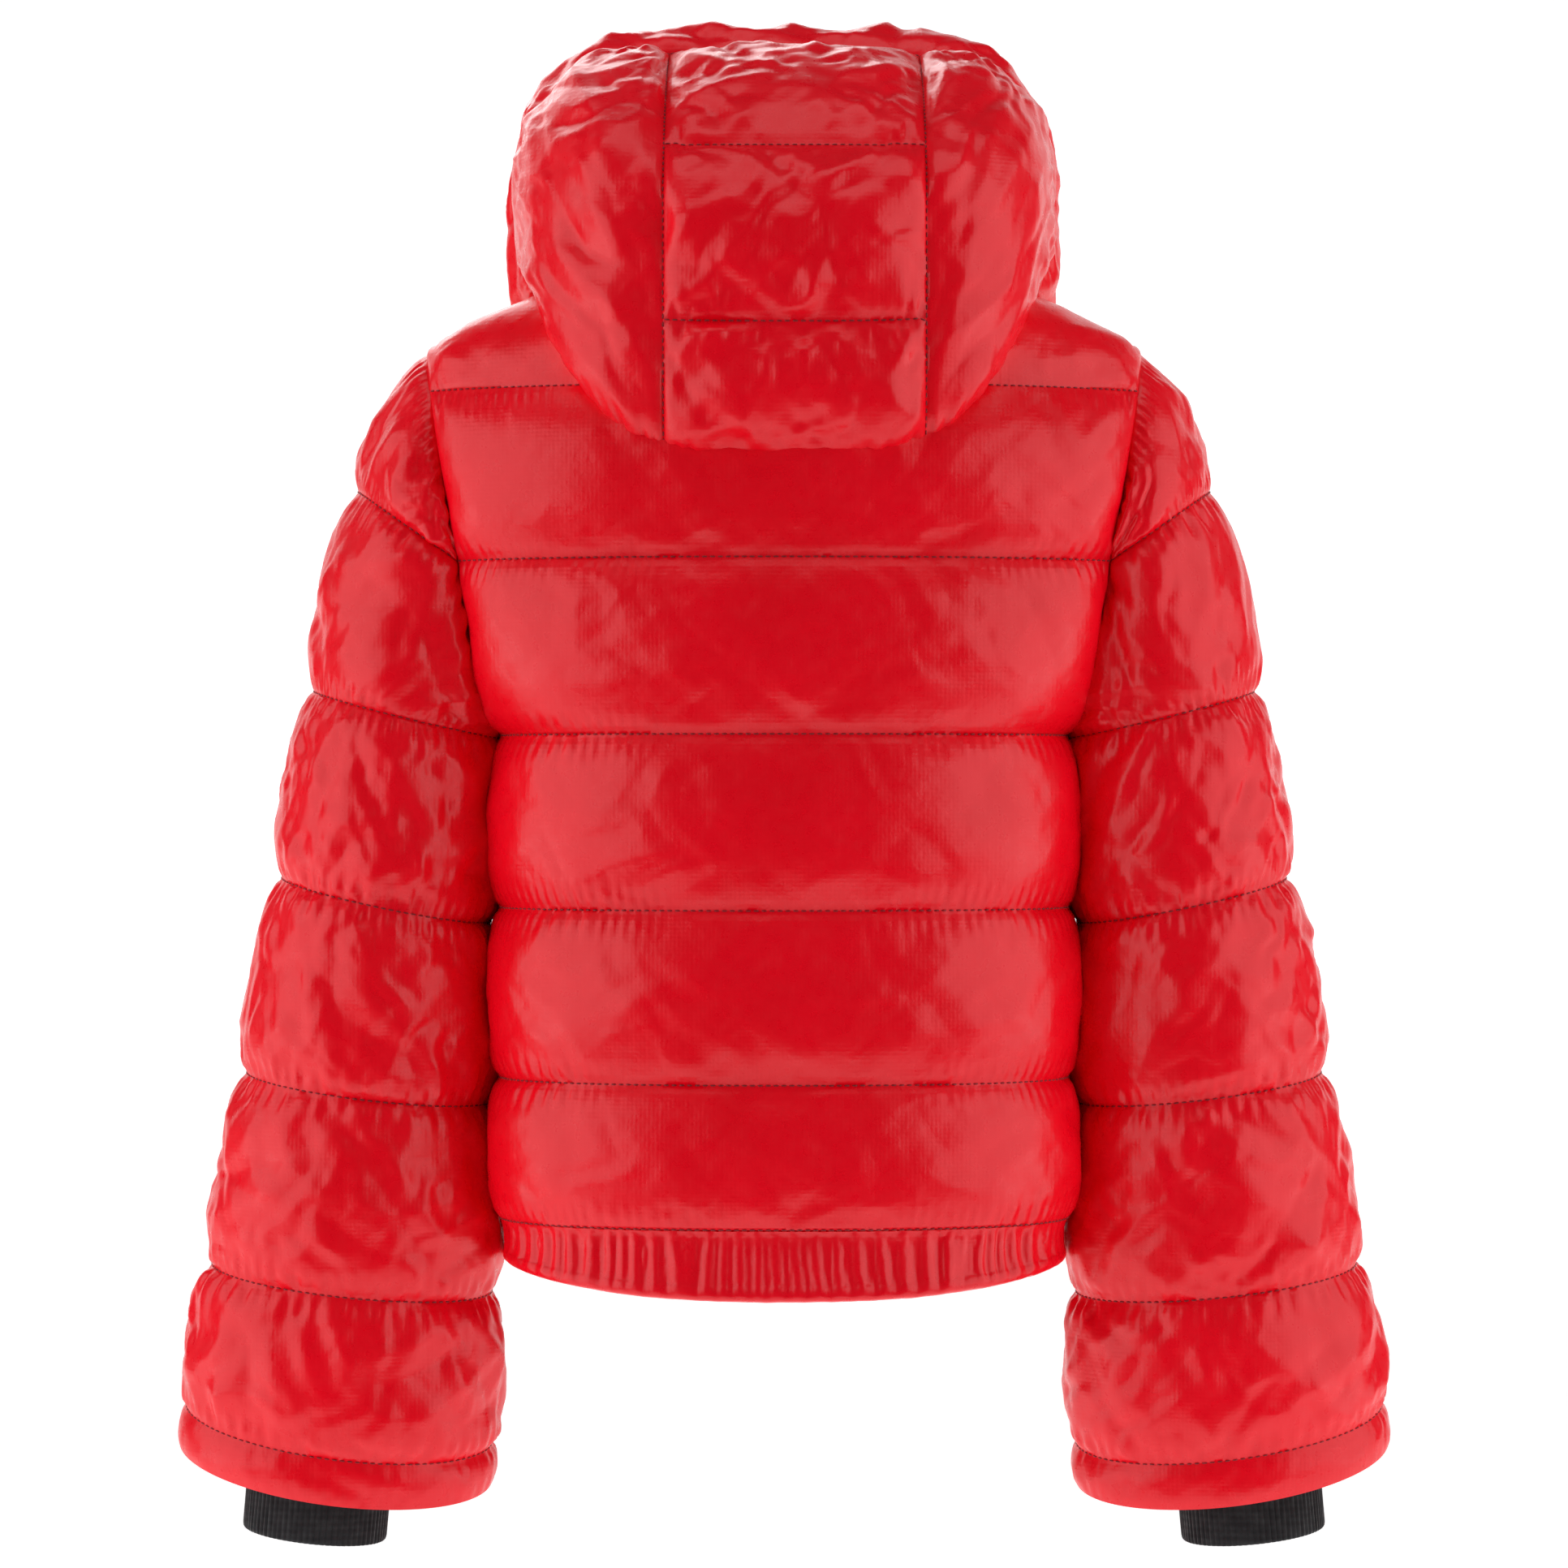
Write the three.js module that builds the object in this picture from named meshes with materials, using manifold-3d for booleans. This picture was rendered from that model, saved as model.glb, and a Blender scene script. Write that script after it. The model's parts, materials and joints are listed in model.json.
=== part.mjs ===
// A hooded down ski jacket, cropped, with flared quilted sleeves, a gathered elastic hem and knitted
// storm cuffs. Millimetres, +Z up. The front faces -Y and the wearer's left is +X. The shapes are worked
// out in the garment's own frame, whose Z axis runs up the middle of the body and whose zero height is
// the back neck point. The exported group moves that frame so that its origin is where a hook bears on
// the hanger loop.
import * as THREE from "three";
import { mergeVertices } from "three/addons/utils/BufferGeometryUtils.js";
import Module from "manifold-3d";

const wasm = await Module();
wasm.setup();

// ---------------------------------------------------------------- driving dimensions
const GAP = 0.3; // between pieces that touch
const WALL = 13; // quilted wall at a seam: shell, flattened down and backing
const LINING = 1.3; // lining cloth with its facing
const LINING_GAP = 0.8; // the body's lining hangs this far in from its wall
const FINEST = 1e-3; // points are placed to this
const SMOOTHING = 0.03; // a vertex is dropped where that moves the surface by less than this
const BODY_PUFF = 8; // how far a filled body chamber stands out past its seams
const SLEEVE_PUFF = 7;
const HOOD_PUFF = 7;

// Body: heights of the quilting seams, and the widths and depths of the trunk.
const HEM_LOW = -592;
const HEM_SEAM = -552;
const QUILT = [-471, -373, -274, -175]; // from the hem up
const YOKE_SEAM = -78;
const HALF_WIDTH = 166; // at the waist seams
const UNDERARM = QUILT[2];
const ARM_FLARE = 0.39; // widening of the trunk oval per mm above the underarm
const BACK_DEPTH = 116;
const BACK_SWAY = 6; // the blades stand out and the waist falls in by this much
const FRONT_DEPTH = 90; // at the neck
const FRONT_LEAN = 0.0641; // the front gains this much depth per mm down, so the zip lies straight
const OVAL = 2.4; // exponent of the trunk oval
const NECK_HALF = 76;
const SHOULDER_TOP = 8; // height of the shoulder line at the neck
const SHOULDER_SLOPE = 0.34;
const SHOULDER_BOW = 0.0009;
const SHOULDER_ROUND = 110; // depth over which the shoulder rounds from front to back
const THINNEST = 3; // half depth of the trunk along its shoulder and side edges
const HEM_RISE = 16; // the hem is this much shorter at the sides
const ARMHOLE = { x: HALF_WIDTH + 40, z: -55, low: HALF_WIDTH + 3, spare: 6 };
const ARMHOLE_SLOPE = (ARMHOLE.x - ARMHOLE.low) / (ARMHOLE.z - UNDERARM);

// Hem casing and the elastic in its channel: insets from the outer surface and distances from its ends.
const CASING = { inset: 1, thick: 11 };
const CHANNEL = { inset: 4, thick: 5, low: 5, high: 6 };

// Collar
const COLLAR = { halfWidth: 80, middle: -13, halfDepth: 75, backLow: -24, backTop: 62 };
const COLLAR_LOW_TILT = 0.4;
const COLLAR_TOP_TILT = 0.28;
const COLLAR_PUFF = 4;

// Front zip
const ZIP = { slot: 12, teeth: 3.5, middleGap: 0.6, top: 14, tape: 1.2, chain: 2.6, sink: 6 };
const FLAP = { half: 11.5, thick: 2.4 };
const FLAP_FRONT = WALL + LINING_GAP - ZIP.sink - FLAP.thick; // the flap lies against the lining

// Sleeve, left. A seam is given by the height of its middle, the tilt of its plane outwards (side) and
// how far its back is dropped (back), in degrees.
const SLEEVE_AXIS = { x: HALF_WIDTH + 37, z: -60, lean: 0.0973 };
const SLEEVE_SEAMS = [
  { z: -261, side: 14, back: 2 },
  { z: -369, side: 12, back: 3 },
  { z: -478, side: 7, back: 4 },
  { z: -590, side: 6, back: 6 },
  { z: -676, side: 7.5, back: 14 },
  { z: -699, side: 7.5, back: 18 },
];
const SLEEVE_HALF = { biceps: 52, hem: 91, flare: 1.1 };
const SLEEVE_DEPTH = { biceps: 64, hem: 62 };
const SLEEVE_FORWARD = 36; // how far the hem hangs in front of the shoulder
const CAP_POLE = { x: HALF_WIDTH + 30, z: -66, side: 50 };
const CAP_BASE = { x: HALF_WIDTH + 40, z: -161.5, side: 35, half: 50, depth: 64 };
const SHOULDER_PIVOT = { x: HALF_WIDTH - 6, z: -85, radius: 97 };
const CUFF = { x: HALF_WIDTH + 110, halfWidth: 42, halfDepth: 30, wall: 4, low: -742, top: -640 };

// Hood
const HOOD = { middle: 12, halfWidth: 155, up: 129, down: 129, front: -88, crest: -50, round: 20, back: 150 };
const HOOD_FALL = 0.35; // the crown drops this much per mm towards the back
const HOOD_NARROW = 0.12;
const HOOD_TOP_OVAL = 4;
const HOOD_LOW_OVAL = 3.2;
const HOOD_BACK_OVAL = 2.3;
const HOOD_SAG_OVAL = 4;
const HOOD_SIDE_OVAL = 4;
const BRIM_TURN = { width: 26, top: 20 }; // how far the brim turns in at its front edge
const BRIM_SEAM = -10;
const HOOD_PANEL = 73; // half width of the middle panel
const HOOD_QUILT = [-44, 55]; // heights of the seams across the middle panel
const HOOD_NECK = { halfWidth: 96, back: 92, clear: 0.5 };

// Hanger loop: the hook bears on the underside of its top bar.
const LOOP = { half: 24, leg: 6, bar: 3, thick: 2, rise: 13, bearing: 26 };

// Pocket zips, left
const POCKET = { x: HALF_WIDTH - 40, z: -412, slant: 6.8, half: 68, width: 15, recess: 10, margin: 1, past: 5 };
const PULL_ROOM = { past: 28, out: 1.5 }; // the body's filling lies back where the pull hangs past the zip

// ---------------------------------------------------------------- materials
const finish = (color, roughness, metalness = 0) => new THREE.MeshStandardMaterial({ color, roughness, metalness });
const SHELL = finish(0xc4000f, 0.3);
const HEM = finish(0xb8000e, 0.32);
const LINING_CLOTH = finish(0x8e0a14, 0.6);
const KNIT = finish(0x1b1c1e, 0.9);
const ELASTIC = finish(0xe4e0d8, 0.8);
const TAPE = finish(0xa00010, 0.7);
const METAL = finish(0xb9bbc0, 0.3, 1);

// ---------------------------------------------------------------- booleans
function solidOf(geometry) {
  const bare = geometry.index ? geometry.toNonIndexed() : geometry.clone();
  for (const name of ["normal", "uv"]) bare.deleteAttribute(name);
  const merged = mergeVertices(bare, 1e-3);
  return new wasm.Manifold(
    new wasm.Mesh({
      numProp: 3,
      vertProperties: merged.attributes.position.array,
      triVerts: new Uint32Array(merged.index.array),
    }),
  );
}

function geometryOf(solid) {
  const mesh = mainPiece(solid.simplify(SMOOTHING)).getMesh();
  return new THREE.BufferGeometry()
    .setAttribute("position", new THREE.BufferAttribute(Float32Array.from(mesh.vertProperties), 3))
    .setIndex(new THREE.BufferAttribute(Uint32Array.from(mesh.triVerts), 1));
}

const above = (solid, z) => solid.trimByPlane([0, 0, 1], z);
const below = (solid, z) => solid.trimByPlane([0, 0, -1], -z);
const behind = (solid, y) => solid.trimByPlane([0, 1, 0], y);
const before = (solid, y) => solid.trimByPlane([0, -1, 0], -y);
const leftOf = (solid, x) => solid.trimByPlane([1, 0, 0], x);
const rightOf = (solid, x) => solid.trimByPlane([-1, 0, 0], -x);

// A box from its corners, as a solid.
function boxSolid(low, high) {
  const size = high.map((h, i) => h - low[i]);
  const box = new THREE.BoxGeometry(...size);
  return solidOf(box.translate(...high.map((h, i) => (h + low[i]) / 2)));
}

// The left half of a solid and its mirror image, joined.
function symmetric(solid) {
  const half = leftOf(solid, 0);
  return half.add(half.mirror([1, 0, 0]));
}

// The largest piece of a solid: cuts at grazing angles can leave a sliver.
function mainPiece(solid) {
  return solid.decompose().sort((a, b) => b.volume() - a.volume())[0];
}

// ---------------------------------------------------------------- lofted shapes
// A point's coordinates, rounded so that those meant to lie on the middle plane do.
const onGrid = (p) => p.toArray().map((v) => Math.round(v / FINEST) * FINEST);

// A closed body from rings of points with the same count, its ends closed by fans.
function loft(rings) {
  const count = rings[0].length;
  const positions = rings.flat().flatMap(onGrid);
  const index = [];
  for (let r = 0; r + 1 < rings.length; r++)
    for (let i = 0; i < count; i++) {
      const a = r * count + i;
      const b = r * count + ((i + 1) % count);
      index.push(a, b, a + count, b, b + count, a + count);
    }
  for (const end of [0, rings.length - 1]) {
    const middle = rings[end].reduce((sum, p) => sum.add(p), new THREE.Vector3()).divideScalar(count);
    const hub = positions.length / 3;
    positions.push(...onGrid(middle));
    for (let i = 0; i < count; i++) {
      const a = end * count + i;
      const b = end * count + ((i + 1) % count);
      index.push(...(end ? [hub, a, b] : [hub, b, a]));
    }
  }
  return new THREE.BufferGeometry()
    .setAttribute("position", new THREE.Float32BufferAttribute(positions, 3))
    .setIndex(index);
}

// The loft as a solid, turned right side out whichever way its rings run.
function loftSolid(rings) {
  const made = solidOf(loft(rings));
  return made.volume() > 0 ? made : solidOf(loft(rings.map((ring) => [...ring].reverse())));
}

// A body between a back sheet and a front sheet, each a grid of points with rows from low to high.
function sheetsSolid(back, front) {
  const rings = back.map((row, r) => [...row, ...[...front[r]].reverse()]);
  const count = rings[0].length;
  const columns = back[0].length;
  const positions = rings.flat().flatMap(onGrid);
  const index = [];
  for (let r = 0; r + 1 < rings.length; r++)
    for (let i = 0; i < count; i++) {
      const a = r * count + i;
      const b = r * count + ((i + 1) % count);
      index.push(a, b, a + count, b, b + count, a + count);
    }
  for (const end of [0, rings.length - 1])
    for (let i = 0; i + 1 < columns; i++) {
      const [a, b] = [end * count + i, end * count + i + 1];
      const [c, d] = [end * count + count - 1 - i, end * count + count - 2 - i];
      index.push(...(end ? [a, b, c, b, d, c] : [a, c, b, b, c, d]));
    }
  return solidOf(
    new THREE.BufferGeometry()
      .setAttribute("position", new THREE.Float32BufferAttribute(positions, 3))
      .setIndex(index),
  );
}

// ---------------------------------------------------------------- trunk
const shoulderLine = (x) => {
  const out = Math.max(Math.abs(x) - NECK_HALF, 0);
  return SHOULDER_TOP - SHOULDER_SLOPE * out - SHOULDER_BOW * out * out;
};
const armholeX = (z) => ARMHOLE.x + (z - ARMHOLE.z) * ARMHOLE_SLOPE;
const trunkHalf = (z) => HALF_WIDTH + ARM_FLARE * Math.max(z - UNDERARM, 0);
const backDepth = (z) => BACK_DEPTH + BACK_SWAY * Math.cos((2 * Math.PI * (z + 200)) / 600);
const frontDepth = (z) => FRONT_DEPTH - FRONT_LEAN * z;
const roundOff = (t, power) => (1 - (1 - THREE.MathUtils.clamp(t, 0, 1)) ** power) ** (1 / power);
const pillow = (t) => (4 * t * (1 - t)) ** 0.7;

// Depth of the trunk's surface at x and z: the oval, rounded off towards the shoulder line.
function trunkDepth(x, z, depth, inset) {
  const across = Math.min(Math.abs(x) / (trunkHalf(z) - inset), 1);
  const oval = (1 - across ** OVAL) ** (1 / OVAL);
  const shoulder = roundOff((shoulderLine(x) - inset - z) / SHOULDER_ROUND, 2.2);
  return Math.max((depth - inset) * oval * shoulder, THINNEST);
}

// The trunk as one body, inset from its outer surface. It runs a little past its armholes.
function trunkSolid({ inset = 0, puff = 0, low = HEM_LOW, lift = 0, steps = 3 }) {
  const seams = [low, HEM_SEAM, ...QUILT, YOKE_SEAM];
  const columns = 12;
  const rows = [];
  for (let s = 0; s + 1 < seams.length; s++)
    for (let k = 0; k < steps; k++) {
      const t = k / steps;
      const swell = s === 0 ? 0 : puff * pillow(t);
      rows.push({ z: () => THREE.MathUtils.lerp(seams[s], seams[s + 1], t), swell });
    }
  for (const w of [0, 0.35, 0.65, 0.87, 1])
    rows.push({
      z: (x) => THREE.MathUtils.lerp(YOKE_SEAM, shoulderLine(x) - inset + lift, w),
      swell: puff * 0.7 * pillow(w),
    });
  const sheet = (side) =>
    rows.map(({ z, swell }, r) =>
      Array.from({ length: columns + 1 }, (_, c) => {
        const level = z(0);
        const net = inset - swell;
        const edge = Math.min(trunkHalf(level) - net, armholeX(Math.max(level, UNDERARM)) + ARMHOLE.spare);
        const x = edge * Math.cos((Math.PI * c) / columns);
        const height = z(x) + (r === 0 ? HEM_RISE * (Math.abs(x) / HALF_WIDTH) ** 2.5 : 0);
        const depth = side > 0 ? backDepth(height) : frontDepth(height);
        return new THREE.Vector3(x, side * trunkDepth(x, height, depth, net), height);
      }),
    );
  return symmetric(sheetsSolid(sheet(1), sheet(-1)));
}

// The side of the armhole's plane away from the trunk, above the underarm. side is 1 for the left.
const armPlane = new THREE.Vector3(1, 0, -ARMHOLE_SLOPE).normalize();
const armAt = armPlane.dot(new THREE.Vector3(ARMHOLE.x, 0, ARMHOLE.z));
function armWedge(side) {
  const wedge = boxSolid([0, -300, UNDERARM], [400, 300, 100]).trimByPlane(armPlane.toArray(), armAt - GAP);
  return side > 0 ? wedge : wedge.mirror([1, 0, 0]);
}

// ---------------------------------------------------------------- collar
function collarSolid(inset, low = 0, high = 0, puff = 0) {
  const count = 24;
  const ring = (t) =>
    Array.from({ length: count }, (_, i) => {
      const a = (2 * Math.PI * i) / count;
      const net = inset - puff * pillow(t);
      const x = (COLLAR.halfWidth - net) * Math.cos(a);
      const y = COLLAR.middle + (COLLAR.halfDepth - net) * Math.sin(a);
      const back = COLLAR.middle + COLLAR.halfDepth;
      const base = COLLAR.backLow + COLLAR_LOW_TILT * (y - back) - low;
      const top = COLLAR.backTop + COLLAR_TOP_TILT * (y - back) + high;
      return new THREE.Vector3(x, y, THREE.MathUtils.lerp(base, top, t));
    });
  return loftSolid([0, 0.2, 0.5, 0.8, 1].map(ring));
}

// ---------------------------------------------------------------- sleeve
const sleeveTop = SLEEVE_SEAMS[0].z;
const sleeveEnd = SLEEVE_SEAMS.at(-1).z;
const along = (z) => THREE.MathUtils.clamp((sleeveTop - z) / (sleeveTop - sleeveEnd), 0, 1);
const axisX = (z) => SLEEVE_AXIS.x + (SLEEVE_AXIS.z - z) * SLEEVE_AXIS.lean;
const axisY = (z) => -SLEEVE_FORWARD * along(z) ** 1.6;
const sleeveHalf = (z) => {
  const t = along(z);
  return THREE.MathUtils.lerp(SLEEVE_HALF.biceps, SLEEVE_HALF.hem, t ** SLEEVE_HALF.flare);
};
const sleeveDeep = (z) => THREE.MathUtils.lerp(SLEEVE_DEPTH.biceps, SLEEVE_DEPTH.hem, along(z));

// A ring in a plane tilted outwards by side and dropped at the back by back, in degrees.
function tiltedRing({ x, y, z, half, deep, side, back }, count = 14) {
  const out = new THREE.Vector3(1, 0, Math.tan(THREE.MathUtils.degToRad(side))).normalize();
  const rear = new THREE.Vector3(0, 1, -Math.tan(THREE.MathUtils.degToRad(back))).normalize();
  return Array.from({ length: count }, (_, i) => {
    const a = (2 * Math.PI * i) / count;
    return new THREE.Vector3(x, y, z)
      .addScaledVector(out, half * Math.cos(a))
      .addScaledVector(rear, deep * Math.sin(a));
  });
}

// Rings of the sleeve from the top of the cap to the hem, inset from the outer surface.
function sleeveRings({ inset = 0, puff = 0, stretch = 0, last = SLEEVE_SEAMS.length - 1, steps = 1 }) {
  const rings = [];
  for (const t of steps > 1 ? [0.08, 0.25, 0.5, 0.75] : [0.08, 0.4]) {
    const grown = Math.sqrt(1 - (1 - t) ** 2);
    const net = inset - puff * 0.7 * pillow(t);
    rings.push(
      tiltedRing({
        x: THREE.MathUtils.lerp(CAP_POLE.x, CAP_BASE.x, t),
        y: 0,
        z: THREE.MathUtils.lerp(CAP_POLE.z, CAP_BASE.z, t),
        half: Math.max(CAP_BASE.half * grown - net, 2),
        deep: Math.max(CAP_BASE.depth * grown - net, 2),
        side: THREE.MathUtils.lerp(CAP_POLE.side, CAP_BASE.side, t),
        back: 0,
      }),
    );
  }
  const stops = [{ z: CAP_BASE.z, side: CAP_BASE.side, back: 0 }, ...SLEEVE_SEAMS];
  for (let s = 0; s <= last; s++) {
    const [a, b] = [stops[s], stops[s + 1]];
    const divided = s === SLEEVE_SEAMS.length - 1 ? 1 : steps;
    for (let k = 0; k < divided + (s === last ? 1 : 0); k++) {
      const t = k / divided;
      const z = THREE.MathUtils.lerp(a.z, b.z, t);
      const inCap = s === 0 ? 1 - t : 0;
      const swell = s === SLEEVE_SEAMS.length - 1 ? 0 : puff * pillow(t);
      rings.push(
        tiltedRing({
          x: THREE.MathUtils.lerp(axisX(z), CAP_BASE.x, inCap),
          y: axisY(z),
          z: z - (s === last && t === 1 ? stretch : 0),
          half: THREE.MathUtils.lerp(sleeveHalf(z), CAP_BASE.half, inCap) - inset + swell,
          deep: THREE.MathUtils.lerp(sleeveDeep(z), CAP_BASE.depth, inCap) - inset + swell,
          side: THREE.MathUtils.lerp(a.side, b.side, t),
          back: THREE.MathUtils.lerp(a.back, b.back, t),
        }),
      );
    }
  }
  return rings;
}

// Cuts a sleeve body to one side of a seam plane: keeps what is below it, or above it.
function cutAtSeam(solid, seam, keepBelow, gap = GAP / 2) {
  const side = Math.tan(THREE.MathUtils.degToRad(seam.side));
  const back = Math.tan(THREE.MathUtils.degToRad(seam.back));
  const normal = new THREE.Vector3(-side, back, 1).normalize();
  const height = normal.dot(new THREE.Vector3(axisX(seam.z), axisY(seam.z), seam.z));
  const down = normal.clone().negate();
  return keepBelow
    ? solid.trimByPlane(down.toArray(), -height + gap)
    : solid.trimByPlane(normal.toArray(), height + gap);
}

// ---------------------------------------------------------------- hood
function hoodSection(y, inset) {
  const behindCrest = Math.max(y - HOOD.crest, 0);
  const turned = THREE.MathUtils.clamp((HOOD.crest - y) / (HOOD.crest - HOOD.front), 0, 1) ** 1.6;
  const share = THREE.MathUtils.clamp((y - HOOD.round) / (HOOD.back - inset - HOOD.round), 0, 1);
  const shrink = (power) => Math.max(1 - share ** power, 0) ** (1 / power);
  const half = HOOD.halfWidth - HOOD_NARROW * behindCrest - BRIM_TURN.width * turned - inset;
  const up = HOOD.up - HOOD_FALL * behindCrest - BRIM_TURN.top * turned - inset;
  return {
    half: Math.max(half * shrink(HOOD_SIDE_OVAL), 3),
    up: Math.max(up * shrink(HOOD_BACK_OVAL), 3),
    down: Math.max((HOOD.down - inset) * shrink(HOOD_SAG_OVAL), 3),
  };
}

function hoodSolid(inset, puff = 0, front = HOOD.front) {
  const count = 24;
  const rows = [front, -70, HOOD.crest, BRIM_SEAM, 20, 55, 90, 118, 138, 149];
  const last = HOOD.back - HOOD.round;
  const rings = rows.map((row) => {
    const y = row > HOOD.round ? HOOD.round + ((row - HOOD.round) * (last - inset)) / last : row;
    const { half, up, down } = hoodSection(y, inset);
    return Array.from({ length: count }, (_, i) => {
      const a = (2 * Math.PI * i) / count;
      const [c, s] = [Math.cos(a), Math.sin(a)];
      const power = 2 / (s > 0 ? HOOD_TOP_OVAL : HOOD_LOW_OVAL);
      const x = half * Math.sign(c) * Math.abs(c) ** power;
      const z = (s > 0 ? up : down) * Math.sign(s) * Math.abs(s) ** power;
      const swell = puff && y > BRIM_SEAM ? puff * hoodSwell(x, z + HOOD.middle) : 0;
      const away = 1 + swell / Math.max(Math.hypot(x, z), 40);
      const pushed = y + swell * THREE.MathUtils.clamp((y - 50) / 60, 0, 1);
      return new THREE.Vector3(x * away, pushed, HOOD.middle + z * away);
    });
  });
  return symmetric(loftSolid(rings));
}

// How full the hood is at a place: full between seams, nothing on them.
function hoodSwell(x, z) {
  const fromPanelSeam = Math.min(Math.abs(Math.abs(x) - HOOD_PANEL) / 30, 1);
  const fromQuilt = Math.min(...HOOD_QUILT.map((q) => Math.abs(z - q) / 26), 1);
  return Math.sqrt(fromPanelSeam) * (Math.abs(x) < HOOD_PANEL ? Math.sqrt(fromQuilt) : 1);
}

// ---------------------------------------------------------------- zips
const zipY = (z) => -(frontDepth(z) - ZIP.sink);
const zipLean = Math.atan(FRONT_LEAN);

// One side of a zip: a tape with a bead of teeth along its inner edge, from z = -length to 0, at +x.
function tapeGeometry(length, width) {
  const half = ZIP.tape / 2;
  const bead = ZIP.chain / 2;
  const outline = new THREE.Shape();
  outline.moveTo(ZIP.middleGap, -bead);
  outline.lineTo(ZIP.teeth, -bead);
  outline.lineTo(ZIP.teeth, -half);
  outline.lineTo(width, -half);
  outline.lineTo(width, half);
  outline.lineTo(ZIP.teeth, half);
  outline.lineTo(ZIP.teeth, bead);
  outline.lineTo(ZIP.middleGap, bead);
  outline.closePath();
  return new THREE.ExtrudeGeometry(outline, { depth: length, bevelEnabled: false }).translate(0, 0, -length);
}

const SLIDER = { half: 5, length: 13, front: 1.9, plate: 1.5, blade: 0.25, ear: 1.1, barY: -6, barR: 0.9 };
const PULL = { eyeHole: 1.3, eyeOut: 2.2, eyeHalf: 1.2, half: 3.6, thick: 1.7, neck: 4, length: 32 };

// A zip slider around the origin: two plates joined by a blade, flanges, and ears with a bar along X.
function sliderGeometry() {
  const { half, length, front, plate, blade, ear, barY, barR } = SLIDER;
  const mid = length / 2;
  const earIn = PULL.eyeHalf + GAP;
  const parts = [
    boxSolid([-half, -front - plate, -mid], [half, -front, mid]),
    boxSolid([-half, front, -mid], [half, front + plate * 0.8, mid]),
    boxSolid([-blade, -front - 0.2, mid - 5], [blade, front + 0.2, mid]),
  ];
  for (const side of [-1, 1]) {
    const flange = [side * (ZIP.teeth + 0.4), side * half].sort((a, b) => a - b);
    parts.push(boxSolid([flange[0], -front - 0.2, -mid], [flange[1], -ZIP.tape / 2 - GAP, mid]));
    const lug = [side * earIn, side * (earIn + ear)].sort((a, b) => a - b);
    parts.push(boxSolid([lug[0], barY - barR - 0.4, -2], [lug[1], -front - 0.2, 2]));
  }
  const bar = new THREE.CylinderGeometry(barR, barR, 2 * (earIn + ear / 2), 12);
  parts.push(solidOf(bar.rotateZ(Math.PI / 2).translate(0, barY, 0)));
  return geometryOf(parts.reduce((a, b) => a.add(b)));
}

// A zip pull around the slider's bar, hanging down in front of the tape.
function pullGeometry() {
  const { eyeHole, eyeOut, eyeHalf, half, thick, neck, length } = PULL;
  const disc = (r, l) => solidOf(new THREE.CylinderGeometry(r, r, l, 16).rotateZ(Math.PI / 2));
  const eye = disc(eyeOut, 2 * eyeHalf);
  const stem = boxSolid([-eyeHalf, -thick / 2, -neck - 1], [eyeHalf, thick / 2, -eyeHole]);
  const blade = new THREE.Shape();
  blade.moveTo(-half * 0.6, -neck);
  blade.lineTo(-half, -length + half);
  blade.absarc(0, -length + half, half, Math.PI, 2 * Math.PI, false);
  blade.lineTo(half * 0.6, -neck);
  blade.closePath();
  const tab = new THREE.ExtrudeGeometry(blade, { depth: thick, bevelEnabled: false, curveSegments: 5 });
  tab.rotateX(Math.PI / 2).translate(0, thick / 2, 0);
  const whole = eye.add(stem).add(solidOf(tab)).subtract(disc(eyeHole, 3 * eyeHalf));
  return geometryOf(whole).translate(0, SLIDER.barY, 0);
}

// ---------------------------------------------------------------- assembly
const garment = new THREE.Group();
const left = new THREE.Group();
const right = new THREE.Group();
right.scale.x = -1;
garment.add(left, right);

function mesh(name, geometry, material) {
  const made = new THREE.Mesh(geometry, material);
  made.name = name;
  return made;
}
const addMiddle = (name, solid, material) => garment.add(mesh(name, geometryOf(solid), material));
function addPair(name, geometry, material, place = (m) => m) {
  left.add(place(mesh("left_" + name, geometry, material)));
  right.add(place(mesh("right_" + name, geometry, material)));
}

const collarHole = collarSolid(-GAP, GAP, GAP, COLLAR_PUFF);
const neckAndArms = collarHole.add(armWedge(1)).add(armWedge(-1));
const trunk = trunkSolid({ puff: BODY_PUFF });
const cavity = trunkSolid({ inset: WALL, low: HEM_LOW - 30, steps: 1 });
const shell = trunk.subtract(cavity).subtract(neckAndArms);

// A group that stands where a pocket zip does, its -Y pointing out of the garment.
function pocketPlace(object) {
  const dx = 1;
  const depth = (x) => trunkDepth(x, POCKET.z, frontDepth(POCKET.z), 0);
  const turn = Math.atan2(depth(POCKET.x) - depth(POCKET.x + dx), dx);
  object.position.set(POCKET.x, -depth(POCKET.x), POCKET.z);
  object.rotation.set(0, THREE.MathUtils.degToRad(-POCKET.slant), turn, "ZYX");
  return object;
}

// What the pocket zip and its hanging pull take out of the front: a deep box and a shallow one below it.
function pocketRecess() {
  const place = pocketPlace(new THREE.Group());
  place.updateMatrix();
  const side = POCKET.width / 2 + POCKET.margin;
  const reach = POCKET.half + POCKET.past;
  const deep = boxSolid([-side, -40, -reach], [side, POCKET.recess, reach]);
  const shallow = boxSolid([-side, -40, -POCKET.half - PULL_ROOM.past], [side, -PULL_ROOM.out, 0]);
  return deep.add(shallow).transform(place.matrix.toArray());
}

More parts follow.
